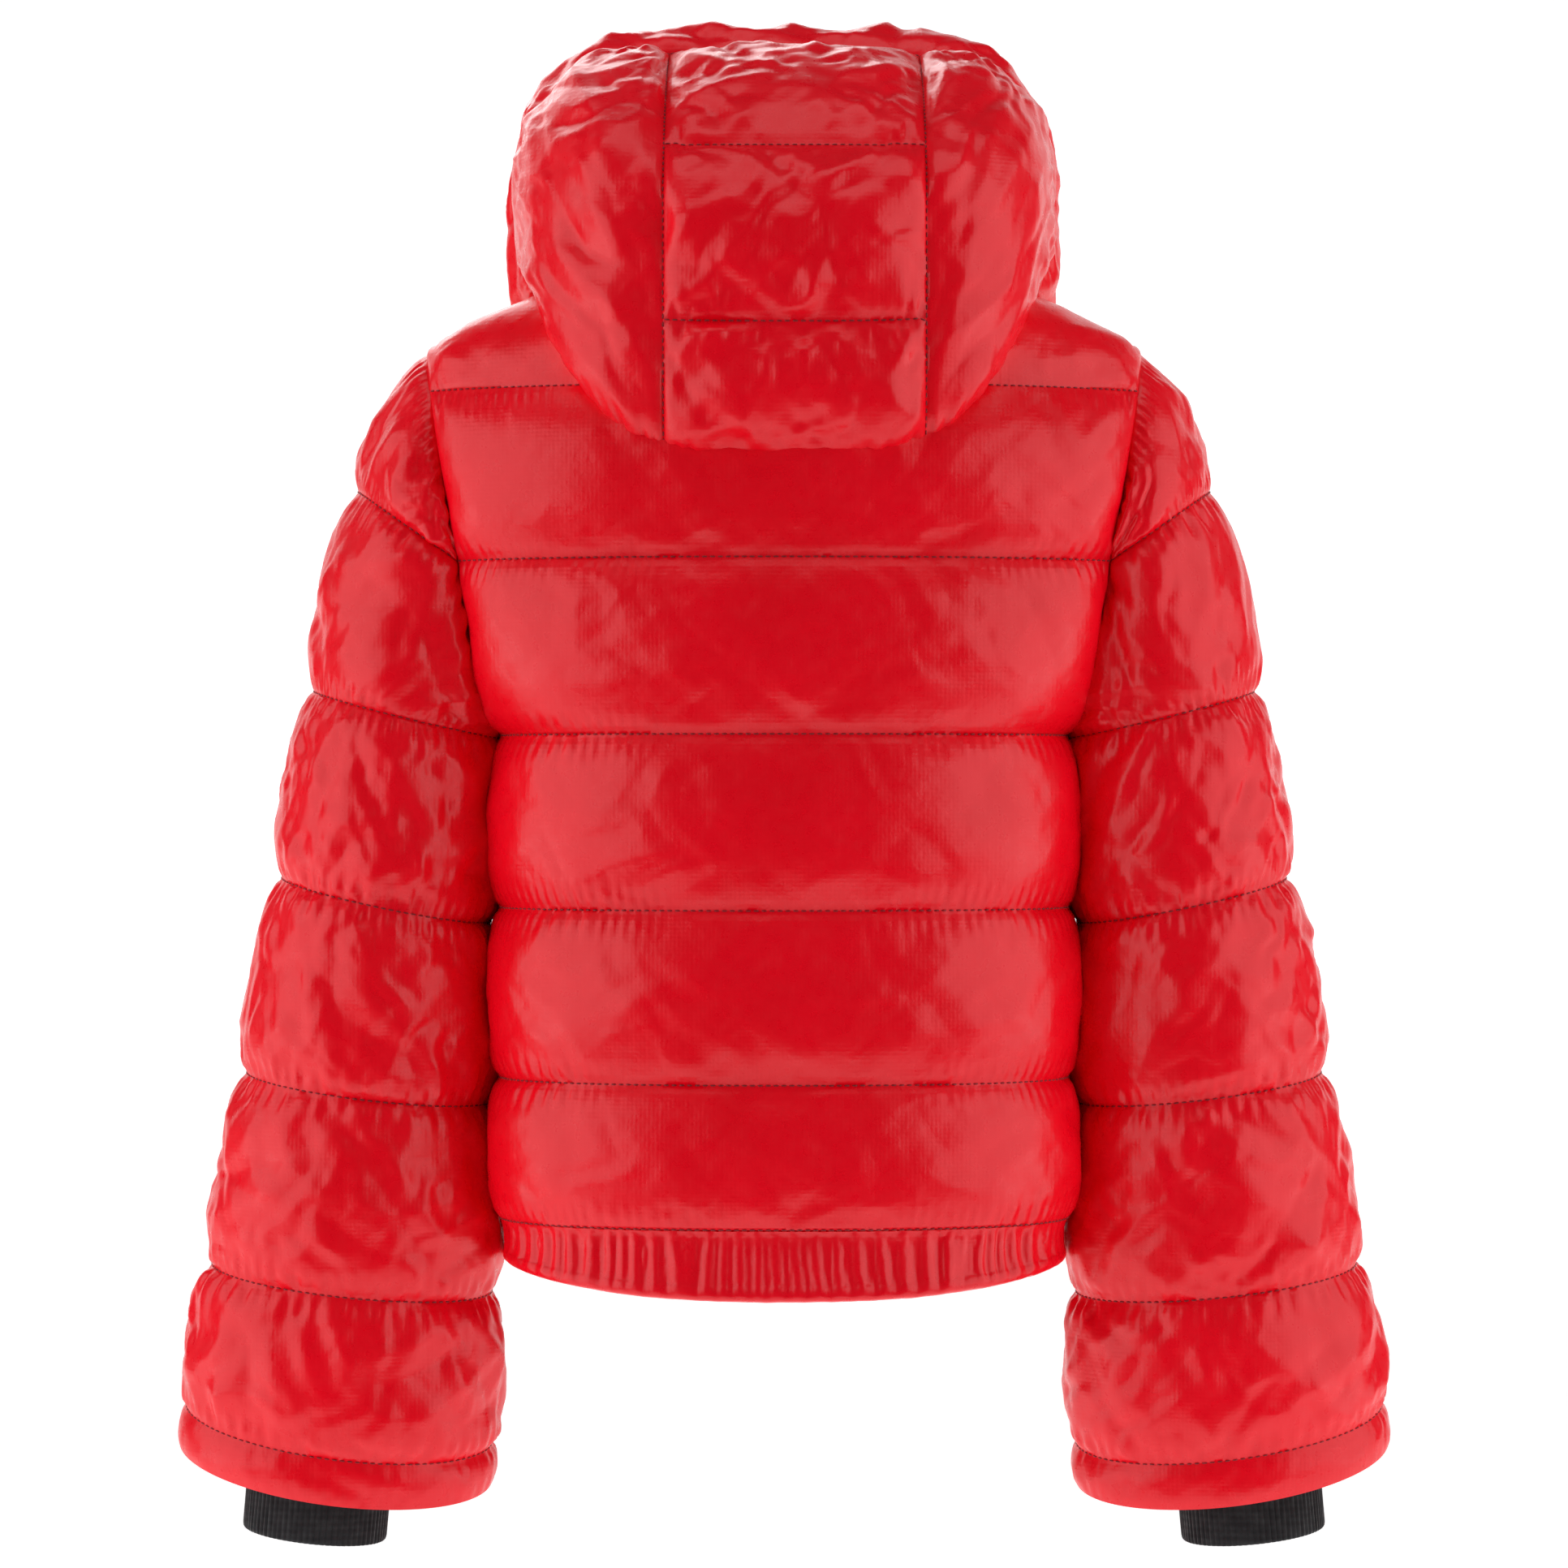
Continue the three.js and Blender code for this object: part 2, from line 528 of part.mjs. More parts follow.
function bodyShell() {
  const seams = [HEM_SEAM, ...QUILT, YOKE_SEAM];
  const half = GAP / 2;
  const back = behind(shell, half);
  const front = leftOf(before(shell, -half), ZIP.slot).subtract(pocketRecess());
  const between = (solid, low, high) => below(above(solid, low + half), high - half);
  const levels = seams.length - 1;
  for (let i = 0; i < levels; i++) {
    const number = levels - i;
    addMiddle("back_baffle_" + number, mainPiece(between(back, seams[i], seams[i + 1])), SHELL);
    addPair("front_baffle_" + number, geometryOf(mainPiece(between(front, seams[i], seams[i + 1]))), SHELL);
  }
  addMiddle("back_yoke", mainPiece(above(back, YOKE_SEAM + half)), SHELL);
  addPair("front_yoke", geometryOf(mainPiece(above(front, YOKE_SEAM + half))), SHELL);
}

// The hem casing is open at its two front ends, where the elastic is stitched down.
function hem() {
  const ring = (inset, thick, low, high) => {
    const outer = above(below(trunkSolid({ inset }), high), HEM_LOW - 1);
    const inner = trunkSolid({ inset: inset + thick, low: HEM_LOW - 30 });
    return above(outer.subtract(inner), low);
  };
  const slotted = (solid) => solid.subtract(boxSolid([-ZIP.slot, -200, HEM_LOW - 50], [ZIP.slot, 0, 0]));
  const { inset, thick } = CHANNEL;
  const [low, high] = [HEM_LOW + HEM_RISE + CHANNEL.low, HEM_SEAM - CHANNEL.high];
  const casing = ring(CASING.inset, CASING.thick, HEM_LOW - 1, HEM_SEAM - GAP / 2);
  const channel = ring(inset, thick, low, high);
  const band = ring(inset + GAP, thick - 2 * GAP, low + GAP, high - GAP);
  addMiddle("hem_casing", slotted(casing.subtract(channel)), HEM);
  addMiddle("hem_elastic", slotted(band), ELASTIC);
}

function lining() {
  const outer = trunkSolid({ inset: WALL + LINING_GAP, steps: 1 });
  const inner = trunkSolid({ inset: WALL + LINING_GAP + LINING, low: HEM_LOW - 30, steps: 1 });
  const slot = boxSolid([-ZIP.slot, -200, HEM_LOW - 50], [ZIP.slot, 0, 100]);
  const cloth = above(outer.subtract(inner).subtract(neckAndArms).subtract(slot), HEM_SEAM);
  addMiddle("body_lining", mainPiece(cloth), LINING_CLOTH);
}

function collar() {
  const ring = collarSolid(0, 0, 0, COLLAR_PUFF).subtract(collarSolid(WALL, 30, 30));
  addMiddle("stand_collar", ring.subtract(boxSolid([-ZIP.slot, -200, -200], [ZIP.slot, 0, 200])), SHELL);
}

function hangerLoop() {
  const { half, leg, bar, thick, rise, bearing } = LOOP;
  const [across, deep] = [COLLAR.halfWidth - WALL, COLLAR.halfDepth - WALL];
  const wall = COLLAR.middle + deep * Math.sqrt(1 - (half / across) ** 2) - 2 * GAP;
  const arch = boxSolid([-half, wall - thick, bearing - rise], [half, wall, bearing + bar]);
  const gap = boxSolid([-half + leg, wall - 2 * thick, bearing - rise - 1], [half - leg, wall + 1, bearing]);
  addMiddle("hanger_loop", arch.subtract(gap), TAPE);
  return { y: wall - thick / 2, z: bearing };
}

function frontZip() {
  const length = (ZIP.top - HEM_LOW - HEM_RISE / 4) / Math.cos(zipLean);
  const place = (object, down = 0) => {
    object.position.set(0, zipY(ZIP.top), ZIP.top);
    object.rotation.x = -zipLean;
    return object.translateZ(-down);
  };
  addPair("zip_tape", tapeGeometry(length, ZIP.slot - GAP), TAPE, place);
  const flapBox = [FLAP.half, FLAP.thick / 2, length / 2];
  const flap = new THREE.BoxGeometry(...flapBox.map((v) => 2 * v)).translate(0, FLAP_FRONT + FLAP.thick / 2, -length / 2);
  garment.add(place(mesh("storm_flap", flap, LINING_CLOTH)));
  const down = SLIDER.length / 2 + 1;
  garment.add(place(mesh("zip_slider", sliderGeometry(), METAL), down));
  garment.add(place(mesh("zip_pull", pullGeometry(), METAL), down));
}

function pocketZips() {
  const { half, width } = POCKET;
  const outer = width / 2;
  const tape = solidOf(tapeGeometry(2 * half, outer));
  const mirrored = new THREE.Matrix4().makeScale(-1, 1, 1);
  const other = tapeGeometry(2 * half, outer).applyMatrix4(mirrored);
  const flipped = solidOf(reversed(other));
  const stop = (z) => boxSolid([-ZIP.teeth, -ZIP.chain / 2, z - 1.5], [ZIP.teeth, ZIP.chain / 2, z + 1.5]);
  const zip = tape.add(flipped).add(stop(0)).add(stop(-2 * half));
  const sink = (object, down) => {
    pocketPlace(object);
    return object.translateY(3).translateZ(half - down);
  };
  addPair("pocket_zip", geometryOf(zip), TAPE, (m) => sink(m, 0));
  const down = SLIDER.length / 2 + 2;
  addPair("pocket_slider", sliderGeometry(), METAL, (m) => sink(m, down));
  addPair("pocket_pull", pullGeometry(), METAL, (m) => sink(m, down));
}

// A mirrored geometry faces inwards: this turns each of its triangles round.
function reversed(geometry) {
  const flat = geometry.index ? geometry.toNonIndexed() : geometry.clone();
  const p = flat.attributes.position;
  for (let i = 0; i < p.count; i += 3) {
    const [x, y, z] = [p.getX(i), p.getY(i), p.getZ(i)];
    p.setXYZ(i, p.getX(i + 1), p.getY(i + 1), p.getZ(i + 1));
    p.setXYZ(i + 1, x, y, z);
  }
  return flat;
}

function sleeves() {
  const { x, z, radius } = SHOULDER_PIVOT;
  const disc = (r) => solidOf(new THREE.CylinderGeometry(r, r, 400, 48).translate(x, 0, 0).translate(0, 0, z));
  const room = trunkSolid({ inset: -2 * GAP, puff: BODY_PUFF, low: HEM_LOW - 20 });
  const roomForTrunk = room.subtract(armWedge(1));
  const outside = (solid) => solid.trimByPlane(armPlane.toArray(), armAt).subtract(roomForTrunk);
  const outer = loftSolid(sleeveRings({ puff: SLEEVE_PUFF, steps: 3 }));
  const hollow = loftSolid(sleeveRings({ inset: WALL, stretch: 60 }));
  const tube = outside(outer.subtract(hollow));
  addPair("sleeve_cap", geometryOf(mainPiece(tube.intersect(disc(radius)))), SHELL);
  let rest = tube.subtract(disc(radius + GAP));
  SLEEVE_SEAMS.slice(0, -1).forEach((seam, i) => {
    addPair("sleeve_baffle_" + (i + 2), geometryOf(mainPiece(cutAtSeam(rest, seam, false))), SHELL);
    rest = cutAtSeam(rest, seam, true);
  });
  addPair("sleeve_hem", geometryOf(mainPiece(rest)), HEM);
  addPair("sleeve_lining", geometryOf(sleeveLining(outside, disc(radius + GAP))), LINING_CLOTH);
  addPair("knit_cuff", cuffGeometry(), KNIT);
}

// Rings of the knitted cuff's tube, from high to low along its slide.
const CUFF_SLIDE = new THREE.Vector3(SLEEVE_AXIS.lean, -0.12, -1).normalize();
function cuffRing(z, inset) {
  const t = (z - CUFF.low) / CUFF_SLIDE.z;
  const at = new THREE.Vector3(CUFF.x, axisY(sleeveEnd) - 2, CUFF.low).addScaledVector(CUFF_SLIDE, t);
  const [half, deep] = [CUFF.halfWidth - inset, CUFF.halfDepth - inset];
  return tiltedRing({ x: at.x, y: at.y, z: at.z, half, deep, side: 5.5, back: 7 });
}

// The sleeve's lining narrows to the cuff, which is held in its neck.
function sleeveLining(outside, pivotDisc) {
  const rings = (inset, neck, extra) => {
    const tube = sleeveRings({ inset, last: 4 }).slice(0, -1);
    return [...tube, cuffRing(CUFF.top + 8 - extra / 4, -neck), cuffRing(CUFF.top - 14 - extra, -neck)];
  };
  const outer = loftSolid(rings(WALL + GAP, GAP + LINING, 0));
  const inner = loftSolid(rings(WALL + GAP + LINING, GAP, 10));
  return mainPiece(outside(outer.subtract(inner)).subtract(pivotDisc));
}

function cuffGeometry() {
  const outer = loftSolid([cuffRing(CUFF.top, 0), cuffRing(CUFF.low, 0)]);
  const inner = loftSolid([cuffRing(CUFF.top + 20, CUFF.wall), cuffRing(CUFF.low - 20, CUFF.wall)]);
  return geometryOf(outer.subtract(inner));
}

function hood() {
  const { halfWidth, back, clear } = HOOD_NECK;
  const room = trunkSolid({ inset: -clear, puff: BODY_PUFF, lift: clear });
  const neckShape = new THREE.CylinderGeometry(1, 1, 300, 32).rotateX(Math.PI / 2);
  const neckMiddle = (back + HOOD.front - 20) / 2;
  neckShape.scale(halfWidth, (back - HOOD.front + 20) / 2, 1).translate(0, neckMiddle, -110);
  const neck = solidOf(neckShape);
  const outer = hoodSolid(0, HOOD_PUFF);
  const inner = hoodSolid(WALL, 0, HOOD.front - 30);
  const clearOf = (solid) => solid.subtract(room).subtract(neck);
  const dome = clearOf(outer.subtract(inner));
  const half = GAP / 2;
  addMiddle("hood_brim", mainPiece(before(dome, BRIM_SEAM - half)), SHELL);
  const rear = behind(dome, BRIM_SEAM + half);
  addPair("hood_side", geometryOf(mainPiece(leftOf(rear, HOOD_PANEL + half))), SHELL);
  const panel = rightOf(leftOf(rear, -HOOD_PANEL + half), HOOD_PANEL - half);
  const [low, high] = HOOD_QUILT;
  addMiddle("hood_crown_panel", mainPiece(above(panel, high + half)), SHELL);
  addMiddle("hood_back_panel", mainPiece(above(below(panel, high - half), low + half)), SHELL);
  addMiddle("hood_nape_panel", mainPiece(below(panel, low - half)), SHELL);
  const lined = WALL + 3 * GAP;
  const cloth = hoodSolid(lined).subtract(hoodSolid(lined + LINING, 0, HOOD.front - 30));
  addMiddle("hood_lining", mainPiece(clearOf(cloth)), LINING_CLOTH);
}

bodyShell();
hem();
lining();
collar();
const hook = hangerLoop();
frontZip();
pocketZips();
sleeves();
hood();
garment.position.set(0, -hook.y, -hook.z);

const jacket = new THREE.Group();
jacket.add(garment);
export default jacket;
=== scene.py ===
"""Looks of a hooded down ski jacket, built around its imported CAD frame.

The forms below work in the garment's own frame, whose origin is at the back neck point: +Z up, +Y
towards the back and +X towards the wearer's left. Workshop.object adds the workshop's origin to every
point, which takes it to the frame that the CAD nodes are in.
"""

import json
import logging
import math
from dataclasses import dataclass, field
from enum import Enum
from typing import Callable

import bpy
import numpy as np
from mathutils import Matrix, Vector

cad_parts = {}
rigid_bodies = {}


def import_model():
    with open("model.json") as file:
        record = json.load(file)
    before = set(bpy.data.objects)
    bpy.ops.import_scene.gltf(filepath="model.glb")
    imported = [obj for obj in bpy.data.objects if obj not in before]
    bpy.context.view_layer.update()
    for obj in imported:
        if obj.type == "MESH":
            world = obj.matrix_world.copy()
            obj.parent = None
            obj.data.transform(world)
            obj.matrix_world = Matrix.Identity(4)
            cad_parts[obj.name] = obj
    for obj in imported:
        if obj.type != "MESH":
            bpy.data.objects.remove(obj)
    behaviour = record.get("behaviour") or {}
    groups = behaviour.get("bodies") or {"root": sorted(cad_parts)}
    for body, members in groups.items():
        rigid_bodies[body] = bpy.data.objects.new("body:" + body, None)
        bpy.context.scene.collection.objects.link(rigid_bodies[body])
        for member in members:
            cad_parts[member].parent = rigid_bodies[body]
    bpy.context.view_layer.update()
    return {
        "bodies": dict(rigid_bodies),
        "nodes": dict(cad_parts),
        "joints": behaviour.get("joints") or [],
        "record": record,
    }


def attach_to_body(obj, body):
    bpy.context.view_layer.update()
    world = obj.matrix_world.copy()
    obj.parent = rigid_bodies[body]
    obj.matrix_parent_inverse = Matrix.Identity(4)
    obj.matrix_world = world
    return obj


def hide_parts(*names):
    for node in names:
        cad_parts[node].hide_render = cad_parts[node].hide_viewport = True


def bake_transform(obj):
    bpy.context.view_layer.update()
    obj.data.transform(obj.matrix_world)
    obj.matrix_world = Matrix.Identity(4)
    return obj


logging.basicConfig(level=logging.INFO, format="%(message)s")
log = logging.getLogger("ski_jacket")

MM = 0.001
Array = np.ndarray
Object = bpy.types.Object
Socket = bpy.types.NodeSocket
Pieces = list[tuple[str, tuple[str, ...]]]


class Side(Enum):
    """A side of the wearer; the value is the sign of its X."""

    LEFT = 1
    RIGHT = -1

    def name_of(self, piece: str) -> str:
        """The piece's name with its side in front."""
        return f"{self.name.lower()}_{piece}"


# ---------------------------------------------------------------- array helpers
def smooth(t: Array) -> Array:
    """Smoothstep of t, clipped to 0..1."""
    t = np.clip(t, 0.0, 1.0)
    return t * t * (3.0 - 2.0 * t)


def pillow(t: Array) -> Array:
    """Height of a stuffed channel at share t of its width: (4t(1-t))^0.5, 0 on both seams, 1 midway."""
    return np.clip(4.0 * t * (1.0 - t), 0.0, None) ** 0.5


def lerp(a: Array, b: Array, t: Array) -> Array:
    """The point at share t of the way from a to b."""
    return a + (b - a) * t


def unit(v: Array) -> Array:
    """Vectors scaled to length 1."""
    return v / (np.linalg.norm(v, axis=-1, keepdims=True) + 1e-12)


def resample(curve: Array, shares: Array) -> Array:
    """Points at the given shares of a polyline's length.

    Args:
        curve: the polyline, shape (n, 3).
        shares: shares of its length, from 0 to 1.

    Returns:
        One point for each share.
    """
    step = np.linalg.norm(np.diff(curve, axis=0), axis=1)
    along = np.concatenate([[0.0], np.cumsum(step)])
    at = shares * along[-1]
    return np.stack([np.interp(at, along, curve[:, k]) for k in range(3)], axis=1)


def grid_normals(p: Array, closed: bool) -> Array:
    """Unit normals of a grid of points: the cross product of its two central differences.

    Args:
        p: points, shape (rows, columns, 3).
        closed: whether the columns run round into each other.

    Returns:
        Normals of the same shape.
    """
    if closed:
        du = np.roll(p, -1, axis=1) - np.roll(p, 1, axis=1)
    else:
        du = np.gradient(p, axis=1)
    dv = np.gradient(p, axis=0)
    return unit(np.cross(du, dv))


def finer(p: Array, axis: int, closed: bool) -> Array:
    """Doubles a grid along an axis: each new point is (-a + 9b + 9c - d) / 16 of its four neighbours.

    Args:
        p: points, shape (rows, columns, 3).
        axis: the axis to double.
        closed: whether the columns run round into each other.

    Returns:
        The finer grid.
    """
    q = np.moveaxis(p, axis, 0)
    if closed:
        padded = np.concatenate([q[-1:], q, q[:2]])
    else:
        padded = np.concatenate([2 * q[:1] - q[1:2], q, 2 * q[-1:] - q[-2:-1]])
    middle = (9 * (padded[1:-2] + padded[2:-1]) - padded[:-3] - padded[3:]) / 16
    count = 2 * len(q) if closed else 2 * len(q) - 1
    out = np.empty((count, *q.shape[1:]))
    out[0::2] = q
    out[1::2] = middle[: count // 2]
    return np.moveaxis(out, 0, axis)


def soft_noise(
    shape: tuple[int, int], cell: tuple[float, float], seed: int, shear: float = 0.0, closed: bool = False
) -> Array:
    """Smooth random values from about -1 to 1: random numbers on a coarse grid, blended by smoothstep.

    Args:
        shape: rows and columns of the result.
        cell: rows and columns between the random numbers.
        seed: seed of the random numbers.
        shear: columns that the pattern slips by in each row.
        closed: whether the pattern repeats after the last column.

    Returns:
        Values of the given shape.
    """
    rng = np.random.default_rng(seed)
    period = max(round(shape[1] / cell[1]), 2) if closed else 512
    v = np.arange(shape[0])[:, None] / cell[0] + np.zeros(shape)
    column = np.arange(shape[1])[None, :] + shear * np.arange(shape[0])[:, None]
    u = column * (period / shape[1] if closed else 1 / cell[1]) + 256
    lattice = rng.uniform(-1, 1, (int(v.max()) + 3, 512))
    iv, iu = np.floor(v).astype(int), np.floor(u).astype(int)
    fv, fu = smooth(v - iv), smooth(u - iu)
    low = lerp(lattice[iv, iu % period], lattice[iv, (iu + 1) % period], fu)
    high = lerp(lattice[iv + 1, iu % period], lattice[iv + 1, (iu + 1) % period], fu)
    return lerp(low, high, fv)


def crumple(p: Array, seed: int, wave: float, closed: bool) -> Array:
    """Relief of flat facets between sharp folds: triangle waves in six directions, each only in patches.

    Args:
        p: the points that the relief is for, shape (rows, columns, 3).
        seed: seed of the directions and patches.
        wave: length of the longest wave, in metres.
        closed: whether the columns run round into each other.

    Returns:
        Heights of about -1 to 1 for each point.
    """
    rng = np.random.default_rng(seed)
    rows, columns = p.shape[:2]
    down = np.linalg.norm(np.diff(p, axis=0), axis=-1).mean()
    along = np.linalg.norm(np.diff(p, axis=1), axis=-1).mean()
    total = np.zeros((rows, columns))
    for number, share in enumerate((1.0, 0.8, 0.64, 0.5, 0.4, 0.32)):
        size = wave * share
        turn = rng.uniform(0.35, 1.25) * (-1) ** number
        steps = math.sin(turn) * along / size
        steps = round(steps * columns) / columns if closed else steps
        cell = (max(0.9 * size / down, 2.0), max(0.9 * size / along, 2.0))
        warp = 0.4 * soft_noise((rows, columns), cell, seed + 40 + number, 0.0, closed)
        t = np.arange(rows)[:, None] * math.cos(turn) * down / size + np.arange(columns) * steps + warp
        patch = smooth(1.6 * soft_noise((rows, columns), cell, seed + 20 + number, 0.0, closed) + 0.35)
        total += share * patch * (2 * np.abs(2 * (t % 1) - 1) - 1)
    return total


# ---------------------------------------------------------------- cloth
@dataclass
class StuffedCloth:
    """Cloth over down, held along its seams, relaxed as a net of links on a grid.

    The net starts on a bulged surface. Along the seams each link wants the length that the middle of its
    channel has, so the cloth is too long where it is stitched and puckers there. The down pushes it out.

    Attributes:
        flat: the surface through the seams, shape (rows, columns, 3), its normals out of the garment.
        bulge: how far the down lifts each point, shape (rows, columns).
        seams: rows that are stitched down.
        held: further points that are stitched down, or None.
        closed: whether the columns run round into each other.
        along: surplus length along the seams, as a share.
        across: surplus length across the seams, as a share.
        fill: push of the down on a point at each step, in metres.
        rounds: steps of the simulation.
        seed: seed of the uneven start.
        reach: the furthest a point may move from where it starts.
        uneven: height of the uneven start.
        passes: times that the links are pulled in each step.
        bend: stiffness of the links that skip a point, which resist folding.
        pucker: rows and columns between the highs of the uneven start.
    """

    flat: Array
    bulge: Array
    seams: list[int]
    held: Array | None = None
    closed: bool = False
    along: float = 0.03
    across: float = 0.02
    fill: float = 0.05 * MM
    rounds: int = 60
    seed: int = 1
    reach: float = 6 * MM
    uneven: float = 1.2 * MM
    passes: int = 5
    bend: float = 0.06
    pucker: tuple[float, float] = (6.0, 3.4)

    def relaxed(self) -> Array:
        """Runs the net and returns its points, shape (rows, columns, 3).

        Returns:
            Points of shape (rows, columns, 3).
        """
        rows, columns = self.bulge.shape
        free = np.ones((rows, columns, 1))
        free[self.seams] = 0.0
        if not self.closed:
            free[:, [0, -1]] = 0.0
        if self.held is not None:
            free[self.held] = 0.0
        out = grid_normals(self.flat, self.closed)
        base = self.flat + out * self.bulge[..., None]
        start = soft_noise((rows, columns), self.pucker, self.seed, 0.0, self.closed)
        start += 0.8 * soft_noise((rows, columns), (12.0, 9.0), self.seed + 1, 0.4, self.closed)
        p = base + out * (start[..., None] * self.uneven) * free
        links = self._links(base)
        speed = np.zeros_like(p)
        for _ in range(self.rounds):
            before = p.copy()
            p = p + (0.9 * speed + self.fill * grid_normals(p, self.closed)) * free
            for _ in range(self.passes):
                for link in links:
                    pull(p, free, *link)
            moved = p - base
            far = np.linalg.norm(moved, axis=-1, keepdims=True)
            p = base + moved * np.minimum(1.0, self.reach / np.maximum(far, 1e-9))
            speed = p - before
        return p

    def _links(self, base: Array) -> list[tuple[Array, Array, Array, float]]:
        """The net's links as index pairs that share no point, with their lengths and stiffness.

        Args:
            base: the lifted points, shape (rows, columns, 3).

        Returns:
            For each set: the numbers of both ends, the rest lengths and the stiffness.
        """
        rows, columns = base.shape[:2]
        index = np.arange(rows * columns).reshape(rows, columns)
        wide = np.concatenate([index, index[:, :2]], axis=1) if self.closed else index
        last = columns if self.closed else columns - 1
        flat = base.reshape(-1, 3)
        patches = soft_noise((rows, last), (14.0, 11.0), self.seed + 2, 0.3, self.closed)
        length_along = self._lengths_along(base, wide, last) * (1 + self.along + 0.018 * patches)
        sets = []

        def add(a: Array, b: Array, rest: Array | float, stiffness: float) -> None:
            """One set of links; a number for rest is a surplus on the length they start with.

            Args:
                a: numbers of the first ends.
                b: numbers of the second ends.
                rest: rest lengths, or a share of surplus.
                stiffness: share of the error that a pull takes away.
            """
            a, b = a.ravel(), b.ravel()
            if isinstance(rest, float):
                rest = np.linalg.norm(flat[a] - flat[b], axis=1) * (1 + rest)
            sets.append((a, b, rest.reshape(-1, 1), stiffness))

        for odd in (0, 1):
            add(wide[:, odd:last:2], wide[:, odd + 1 : last + 1 : 2], length_along[:, odd:last:2], 1.0)
            top, under = index[odd : rows - 1 : 2], index[odd + 1 : rows : 2]
            add(top, under, self.across, 1.0)
            nexts = np.roll(np.arange(columns), -1)[:last]
            add(top[:, :last], under[:, nexts], self.across, 0.2)
            add(under[:, :last], top[:, nexts], self.across, 0.2)
            steps = np.flatnonzero(np.arange(last - 1) % 4 // 2 == odd)
            add(
                wide[:, steps], wide[:, steps + 2], length_along[:, steps] + length_along[:, steps + 1],
                self.bend,
            )
            lines = np.flatnonzero(np.arange(rows - 2) % 4 // 2 == odd)
            add(index[lines], index[lines + 2], self.across, self.bend)
        return sets

    def _lengths_along(self, base: Array, wide: Array, last: int) -> Array:
        """Lengths of the links along the seams: the seam surface's, grown as at the middle of the channel.

        Args:
            base: the lifted points, shape (rows, columns, 3).
            wide: point numbers, with the first columns again if closed.
            last: links in a row.

        Returns:
            Lengths of shape (rows, last).
        """
        seamed, lifted = self.flat.reshape(-1, 3), base.reshape(-1, 3)
        a, b = wide[:, :last], wide[:, 1 : last + 1]
        short = np.linalg.norm(seamed[a] - seamed[b], axis=-1)
        long = np.linalg.norm(lifted[a] - lifted[b], axis=-1)
        edges = sorted({0, *self.seams, len(base) - 1})
        growth = np.empty_like(short)
        for low, high in zip(edges[:-1], edges[1:]):
            middle = (low + high) // 2
            growth[low : high + 1] = np.clip(long[middle] / np.maximum(short[middle], 1e-9), 1.0, 1.14)
        return short * growth


def pull(p: Array, free: Array, a: Array, b: Array, rest: Array, stiffness: float) -> None:
    """Moves both ends of each link so that it nears its rest length, held points staying put.

    Args:
        p: the points, which are moved.
        free: 1 for free points, 0 for held ones.
        a: numbers of the first ends.
        b: numbers of the second ends.
        rest: rest lengths.
        stiffness: share of the error to take away.
    """
    flat, weight = p.reshape(-1, 3), free.reshape(-1, 1)
    d = flat[b] - flat[a]
    length = np.sqrt((d * d).sum(1, keepdims=True)) + 1e-9
    wa, wb = weight[a], weight[b]
    d *= stiffness * (length - rest) / length / np.maximum(wa + wb, 1e-9)
    flat[a] += wa * d
    flat[b] -= wb * d


@dataclass(frozen=True)
class Crease:
    """A sharp fold along a line: the cloth sinks by depth on the line and rises a little beside it."""

    start: tuple[float, float, float]
    end: tuple[float, float, float]
    depth: float = 5 * MM
    width: float = 9 * MM

    def sink(self, p: Array) -> Array:
        """How far each point sinks: depth times a sharp peak with shallow banks, fading to the ends.

        Args:
            p: points, shape (rows, columns, 3).

        Returns:
            Depths of shape (rows, columns).
        """
        a, b = np.array(self.start), np.array(self.end)
        d = b - a
        t = ((p - a) @ d) / (d @ d)
        off = np.linalg.norm(p - (a + np.clip(t, 0, 1)[..., None] * d), axis=-1) / self.width
        fade = smooth(t / 0.3) * smooth((1 - t) / 0.45)
        peak = np.exp(-off * 1.6) - 0.45 * np.exp(-((off - 1.7) ** 2) / 0.7)
        return self.depth * fade * peak


